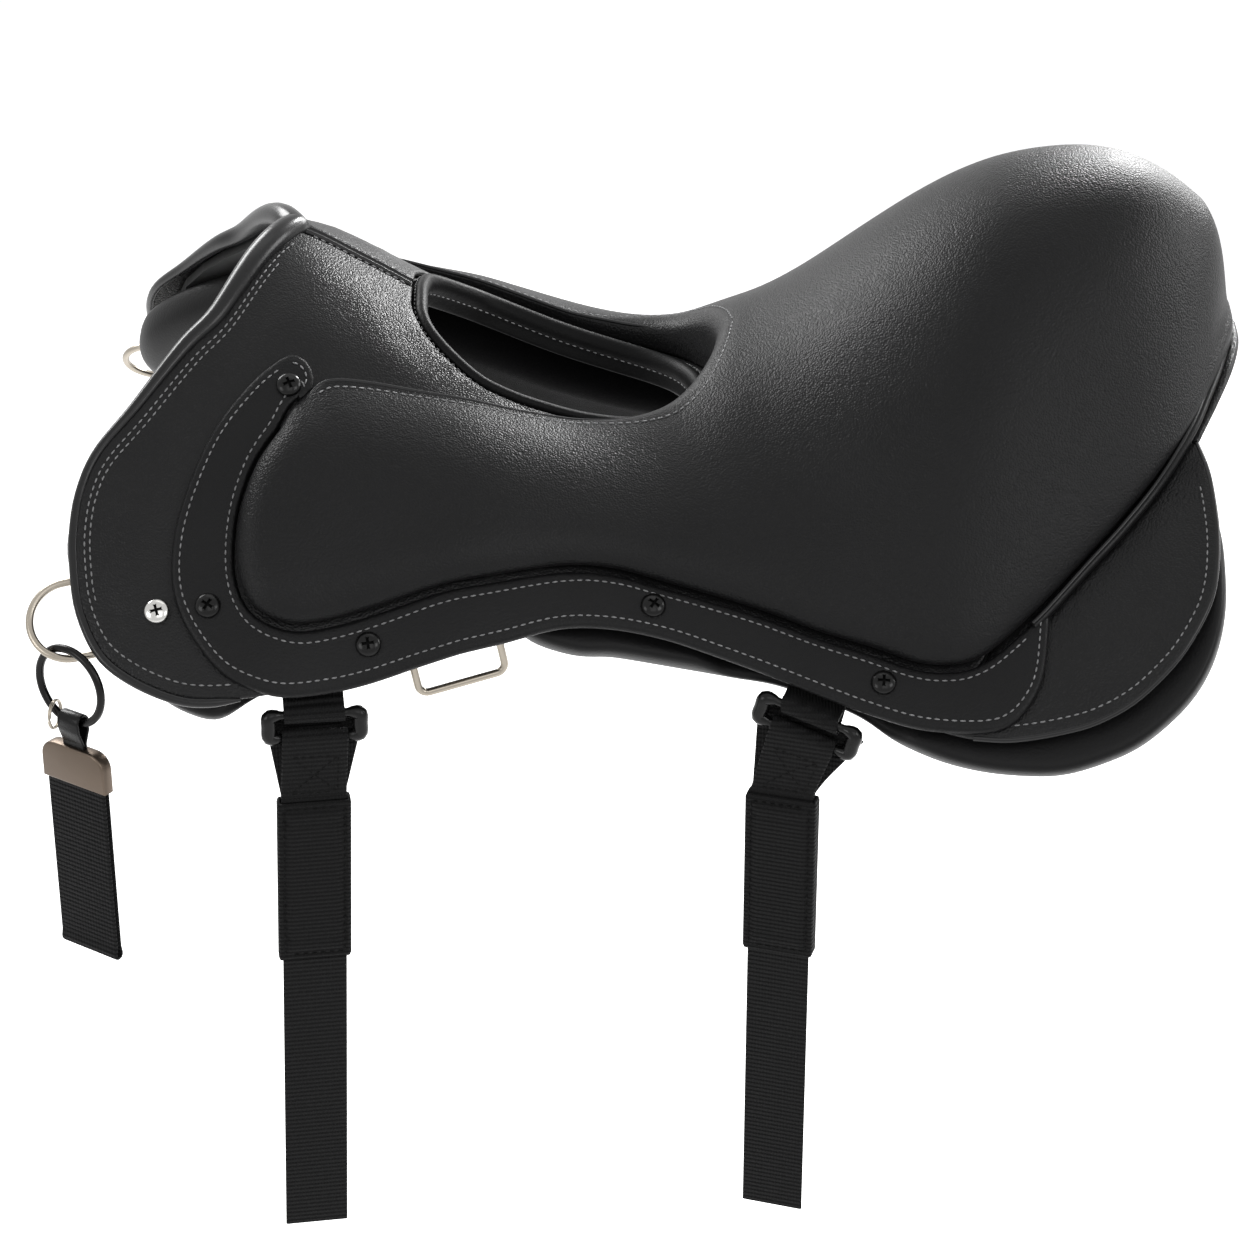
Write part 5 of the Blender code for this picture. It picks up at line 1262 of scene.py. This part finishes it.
def ribbon(name, path, width, thick, shade, body, at, step=0.0012):
    """Strap of a width along a path of (outward, up) points; at() places its points."""
    count = len(path)
    wide = np.broadcast_to(width, count)
    run = even(np.column_stack([np.asarray(path, dtype=float), wide]), step)
    out = left_of(run[:, :2])
    turn = np.radians(np.linspace(-90, 90, 6))
    rows = []
    for (v, z, w), n in zip(run, out):
        right = [(w / 2 - thick / 2 + thick / 2 * math.cos(a), thick / 2 * math.sin(a)) for a in turn]
        ring = right + [(-u, t) for u, t in reversed(right)]
        rows.append([at(u, v + n[0] * t, z + n[1] * t) for u, t in ring])
    return swept(name, rows, shade, around=True, capped=True, body=body, angle=50)


def hung(point, across, outward):
    """Placing function of a strap that hangs from a point."""
    return lambda u, v, z: point + across * u + outward * v + UP * z


# %% leather chapes of the dees, and the stirrup tabs
THICK, FIT = 0.0013, 0.0003      # thickness of a loop, and its play round a wire
for side, word in SIDES:
    centre, down, forward, up = dee_frame(side)
    back = unit(np.cross(down, up))
    back = back if back[0] > 0 else -back
    middle_radius = DEE_WIRE + FIT + THICK / 2
    drop = -0.0001
    path = [(0.0190, drop - 0.0044), (0.0120, drop - 0.0028), (0.0050, middle_radius * 0.55)]
    path += arc((0, 0), middle_radius, 75, 285, 15)
    path += [(0.0050, -middle_radius * 1.25), (0.0120, drop - 0.0056), (0.0190, drop - 0.0070)]
    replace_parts(ribbon(f"dee_strap_{word}", path, 0.014, THICK, strap_leather, "saddle",
                       lambda u, v, z: centre + down * (u - 0.003) + back * v + up * z),
                f"dee_chape_{word}")
    middle, axis, down, half = stirrup_bar(side)
    back = unit(np.cross(axis, down))
    back = back if back[1] * side < 0 else -back
    middle_radius = STIRRUP_WIRE + FIT + THICK / 2
    path = [(0.0125, 0.0098), (0.0085, 0.0066), (0.0048, 0.0044)]
    path += arc((0, 0), middle_radius, 60, -215, 20)
    path += [(0.0015, 0.0048), (0.0085, 0.0102)]
    for number, shift in enumerate((-half + 0.0090, half - 0.0090)):
        tab = ribbon(f"tab_{word}_{number}", path, 0.0070, THICK, strap_webbing, "saddle",
                     lambda u, v, z: middle + axis * (shift + u) + back * v - down * z)
        if number == 0:
            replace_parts(tab, f"stirrup_tab_{word}")
    ribbon(f"tab_strip_{word}", [(0.0078, 0.0078), (0.0122, 0.0110)], 2 * half - 0.012, 0.0024,
           strap_webbing, "saddle", lambda u, v, z: middle + axis * u + back * v - down * z)

# %% loop, clasp and webbing of the key tag
at_tag = hung(TAG_AT, across, outward)
CLASP_TOP, CLASP_HALF, CLASP_HEIGHT, CLASP_DEPTH = 0.0120, 0.0185, 0.0190, 0.0034
middle_radius = RING_WIRE + RING_SLACK + THICK / 2
ply, low = THICK / 2 + 0.0002, -CLASP_TOP - 0.0045
path = [(ply, low), (ply, -0.0095), (middle_radius * 0.95, -0.0030)]
path += arc((0, 0.0012), middle_radius, 0, 180, 17)
path += [(-middle_radius * 0.95, -0.0030), (-ply, -0.0095), (-ply, low)]
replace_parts(ribbon("key_tag_loop", path, 0.0125, THICK, strap_leather, "key_tag", at_tag, step=0.0008),
            "tag_loop")

ply, top, tip = 0.0012, -CLASP_TOP - 0.0085, -0.1190
path = [(ply, top), (ply, tip + 0.006), (0.0019, tip + 0.0025), *arc((0, tip + 0.0020), 0.0019, -20, -160, 9),
        (-0.0019, tip + 0.0025), (-ply, tip + 0.006), (-ply, top)]
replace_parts(ribbon("key_tag_webbing", path, 0.0340, 0.0016, strap_webbing, "key_tag", at_tag), "tag_strap")

clasp = bmesh.new()
corner = 0.0078
outline = [*arc((CLASP_HALF - corner, -corner), corner, 0, 90, 9),
           *arc((-CLASP_HALF + corner, -corner), corner, 90, 180, 9),
           (-CLASP_HALF, -CLASP_HEIGHT), (CLASP_HALF, -CLASP_HEIGHT)]
bmesh.ops.create_circle(clasp, cap_ends=True, segments=len(outline), radius=1.0)
for vertex, (u, z) in zip(clasp.verts, outline):
    vertex.co = at_tag(u, -CLASP_DEPTH, z - CLASP_TOP)
grown = bmesh.ops.extrude_face_region(clasp, geom=clasp.faces[:])
moved = [item for item in grown["geom"] if isinstance(item, bmesh.types.BMVert)]
bmesh.ops.translate(clasp, verts=moved, vec=Vector(outward * 2 * CLASP_DEPTH))
bmesh.ops.recalc_face_normals(clasp, faces=clasp.faces[:])
rims = [edge for edge in clasp.edges if any(len(face.verts) > 4 for face in edge.link_faces)]
bmesh.ops.bevel(clasp, geom=rims, offset=0.0011, segments=3, profile=0.5, affect="EDGES", material=-1)
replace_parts(finished("key_tag_clasp", clasp, clasp_metal, body="key_tag", angle=50), "tag_clamp")
print("tag hangs from", [round(float(c), 3) for c in TAG_AT])

# %% [markdown]
# ## Girth points
# Each girth point is a black buckle with four rounded bosses. A webbing chape from the tree
# holds its upper bar. The girth strap is folded round the lower bar, sewn to itself and
# covered by a sewn sleeve of basket webbing, from which it hangs down free.

# %% sizes of the girth points
BUCKLE_BAR, BUCKLE_BOSS, BUCKLE_HEIGHT = 0.0020, 0.0036, 0.0115
WEB_WIDTH, WEB_THICK = 0.0300, 0.0016
SLEEVE_TOP, SLEEVE_LENGTH, SLEEVE_WALL = 0.0535, 0.0820, 0.0014
CHAPE_DEPTH, BARE_STEP, SEAM_DIP = 0.0082, 0.0006, 0.0003
# ends of the lower bar's plan line, how far the buckle lies out and down, and the strap's slant
GIRTHS = [("front", ((-158, 177), (-119, 171)), 0.0088, 0.0080, 0.037),
          ("rear", ((63, 156), (102, 168.5)), 0.0110, 0.0030, 0.0)]
STRAP_ENDS = {-1: -0.341, 1: -0.220}       # height of the cut end on each side


def buckle_path(half):
    """Centre line and radius of a buckle: slim bars, and fat bosses at its two sides."""
    tall, slim, fat = BUCKLE_HEIGHT, BUCKLE_BAR, BUCKLE_BOSS
    right = [(0.0, 0, slim), (0.40 * half, 0, slim), (0.72 * half, 0, slim), (0.84 * half, 0, fat * 0.78),
             (half, tall * 0.08, fat), (half * 1.01, tall * 0.5, fat), (half, tall * 0.92, fat),
             (0.84 * half, tall, fat * 0.78), (0.72 * half, tall, slim), (0.40 * half, tall, slim)]
    left = [(0.0, tall, slim)] + [(-u, tall - w, r) for u, w, r in right[1:]]
    return rounded_path(right + left, 0.0011, closed=True)


# %% rounded sleeve
def rounded_box(wide, front, back, radius):
    """Closed outline with rounded corners, front outward, read at even steps."""
    corners = (((wide - radius, front - radius), 0), ((-wide + radius, front - radius), 90),
               ((-wide + radius, -back + radius), 180), ((wide - radius, -back + radius), 270))
    points = [point for centre, start in corners for point in arc(centre, radius, start, start + 90, 5)]
    return even(np.array(points + points[:1]), 0.0012, closed=True)


def make_sleeve(name, at, aside, top, bottom, wide, front, back, body):
    """Tube of thick webbing, pillowed between its seams."""
    outer = rounded_box(wide, front, back, 0.0014)
    inner = inset(outer, SLEEVE_WALL)
    rows = []
    for z in np.linspace(top, bottom, 60):
        ends = min(top - z, z - bottom)
        lip = 0.0005 * (1 - ease(ends / 0.0010))
        ring = inset(outer, lip)
        from_rim = np.minimum(wide - np.abs(ring[:, 0]), ends)
        swell = 0.0007 * ease((from_rim - 0.0028) / 0.004)
        swell -= SEAM_DIP * np.exp(-((from_rim - 0.0029) / 0.0007) ** 2)
        swell -= SEAM_DIP * math.exp(-((ends - 0.0105) / 0.0008) ** 2)
        flat = np.sign(ring[:, 1] - (front - back) / 2) * (np.abs(ring[:, 0]) < wide - 0.0015)
        rows.append([at(u + aside(z), v + f * s, z) for (u, v), s, f in zip(ring, swell, flat)])
    for z in (bottom, top):
        rows.append([at(u + aside(z), v, z) for u, v in inner])
    return swept(name, rows, sleeve_webbing, around=True, along=True, body=body, angle=60)


# %% one girth point
def make_girth(where, ends, outward_by, down_by, slant, side, word):
    lift = np.array([0.0, side * outward_by, -down_by])
    first, second = (spot_on(x, y, side, -CHAPE_DEPTH) + lift for x, y in ends)
    middle, level, outward, axis, length = bar_frame(first, second)
    down = unit(-UP + axis * axis[2])
    climb = axis[2] / math.hypot(axis[0], axis[1])
    body = f"girth_{where}_{word}"
    line = buckle_path(length / 2)
    points = middle + axis * line[:, :1] + down * line[:, 1:2]
    wire = np.clip(line[:, 2], BUCKLE_BAR, BUCKLE_BOSS)
    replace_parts(tube(f"buckle_{where}_{word}", points, wire, black_enamel, closed=True, sides=16, body=body),
                f"girth_buckle_{where}_{word}")

    fold_radius = BUCKLE_BAR + FIT + WEB_THICK / 2
    floor = STRAP_ENDS[side] - middle[2]
    sewn, ply, drop = -SLEEVE_TOP + 0.012, WEB_THICK / 2 + 0.0002, -down[2] * BUCKLE_HEIGHT
    bare = 0.007 - SLEEVE_TOP - SLEEVE_LENGTH
    path = [(ply - BARE_STEP, floor), (ply - BARE_STEP, bare), (ply, bare + 0.010), (ply, sewn),
            (fold_radius * 0.97, -drop - 0.003), *arc((0, -drop), fold_radius, 8, 172, 17),
            (-fold_radius * 0.97, -drop - 0.003), (-ply, sewn), (-ply, sewn - 0.028)]
    third = -ply - WEB_THICK - 0.0004
    path += arc(((third - ply) / 2, sewn - 0.0285), (-ply - third) / 2, -20, -160, 7)
    far = -fold_radius - WEB_THICK - 0.0006
    path += [(third, sewn - 0.028), (third, sewn), (far, -drop), (far, -0.0052)]
    widths = [WEB_WIDTH - 0.0005] * (len(path) - 2) + [length * 1.04, length * 1.16]

    def aside(z):
        return -climb * max(z, sewn) + slant * min(z + drop, 0.0)

    def hang_from(u, v, z):
        lean = climb * float(ease((z - sewn) / (-drop - sewn)))
        return middle + level * (u + aside(z)) + outward * v + UP * (z + lean * u)

    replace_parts(ribbon(f"webbing_{where}_{word}", path, widths, WEB_THICK, strap_webbing, body, hang_from),
                f"girth_strap_{where}_{word}")

    wide, front = WEB_WIDTH / 2 + FIT + SLEEVE_WALL, WEB_THICK + 0.0002 + FIT + SLEEVE_WALL
    back = front + WEB_THICK + 0.0004
    top, bottom = -SLEEVE_TOP + 0.010, -SLEEVE_TOP - SLEEVE_LENGTH + 0.010

    def box_at(u, v, z):
        return middle + level * u + outward * v + UP * z

    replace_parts(make_sleeve(f"sleeve_{where}_{word}", box_at, aside, top, bottom, wide, front, back, body),
                f"girth_sleeve_{where}_{word}")
    threads = bmesh.new()
    edge = wide - 0.0030
    high, deep = top - 0.0030, bottom + 0.0030
    frames = [[(-edge, high), (edge, high), (edge, deep), (-edge, deep), (-edge, high)],
              [(-edge, top - 0.0108), (edge, top - 0.0108)], [(-edge, bottom + 0.0108), (edge, bottom + 0.0108)]]
    for corners in frames:
        for (u0, z0), (u1, z1) in zip(corners, corners[1:]):
            line = [box_at(u + aside(z), front + 0.0001, z)
                    for u, z in zip(np.linspace(u0, u1, 12), np.linspace(z0, z1, 12))]
            sew(threads, np.array(line), np.tile(outward, (12, 1)), pitch=0.0040, length=0.0028,
                thick=0.0004)
    box = [(-0.0105, -0.020), (0.0105, -0.020), (-0.0105, -0.039), (0.0105, -0.039), (-0.0105, -0.020)]
    for (u0, z0), (u1, z1) in [*zip(box, box[1:]), (box[1], box[3])]:
        line = []
        for u, z in zip(np.linspace(u0, u1, 10), np.linspace(z0, z1, 10)):
            between = np.clip((-drop - 0.003 - z) / (-drop - 0.003 - sewn), 0, 1)
            front_of = fold_radius * 0.97 + (ply - fold_radius * 0.97) * between + WEB_THICK / 2
            line.append(hang_from(u, front_of, z))
        sew(threads, np.array(line), np.tile(outward, (10, 1)), pitch=0.0036, length=0.0026,
            thick=0.0003)
    finished(f"threads_{where}_{word}", threads, black_thread, body=body)

    rows = []
    for u in np.linspace(-WEB_WIDTH / 2 + 0.0015, WEB_WIDTH / 2 - 0.0015, 9):
        bar = middle + axis * u
        starts = [bar - outward * (outward_by + back_by) for back_by in (0.024, 0.010, -0.004)]
        root = lay(np.array([start[:2] for start in starts]), -CHAPE_DEPTH)
        line = np.stack([(root - bar) @ outward, root[:, 2] - bar[2]], axis=1)
        tip = math.degrees(math.atan2(line[-1, 1], line[-1, 0]))
        apart = left_of(line) * (WEB_THICK / 2 + 0.0001)
        side_view = np.vstack([line + apart, arc((0, 0), fold_radius, tip - 45, tip - 315, 17),
                               (line - apart)[::-1]])
        half = left_of(side_view) * WEB_THICK / 2
        ring = np.vstack([side_view + half, (side_view - half)[::-1]])
        rows.append([bar + outward * v + UP * z for v, z in ring])
    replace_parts(swept(f"chape_{where}_{word}", rows, strap_webbing, around=True, capped=True, angle=50),
                f"girth_chape_{where}_{word}")


for where, ends, outward_by, down_by, slant in GIRTHS:
    for side, word in SIDES:
        make_girth(where, ends, outward_by, down_by, slant, side, word)
print("girth points made:", 2 * len(GIRTHS))

# %% [markdown]
# ## What stays of the frame
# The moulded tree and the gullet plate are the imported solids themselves. They only show
# from below and in gaps, but they get finishes of their own: fine-grained moulded plastic
# and a phosphated steel.

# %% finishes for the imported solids
moulded = grained("moulded tree", 2200.0, (0.010, 0.010, 0.010), (0.018, 0.018, 0.018), (0.45, 0.62),
                  (0.25, 0.0002))
steel = grained("phosphated steel", 1700.0, (0.05, 0.05, 0.052), (0.12, 0.12, 0.12), (0.38, 0.55),
                (0.10, 0.0001), metallic=1.0)
for node, shade in (("tree", moulded), ("gullet_plate", steel)):
    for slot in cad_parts[node].material_slots:
        slot.material = shade
print("finished solids: tree and gullet plate")
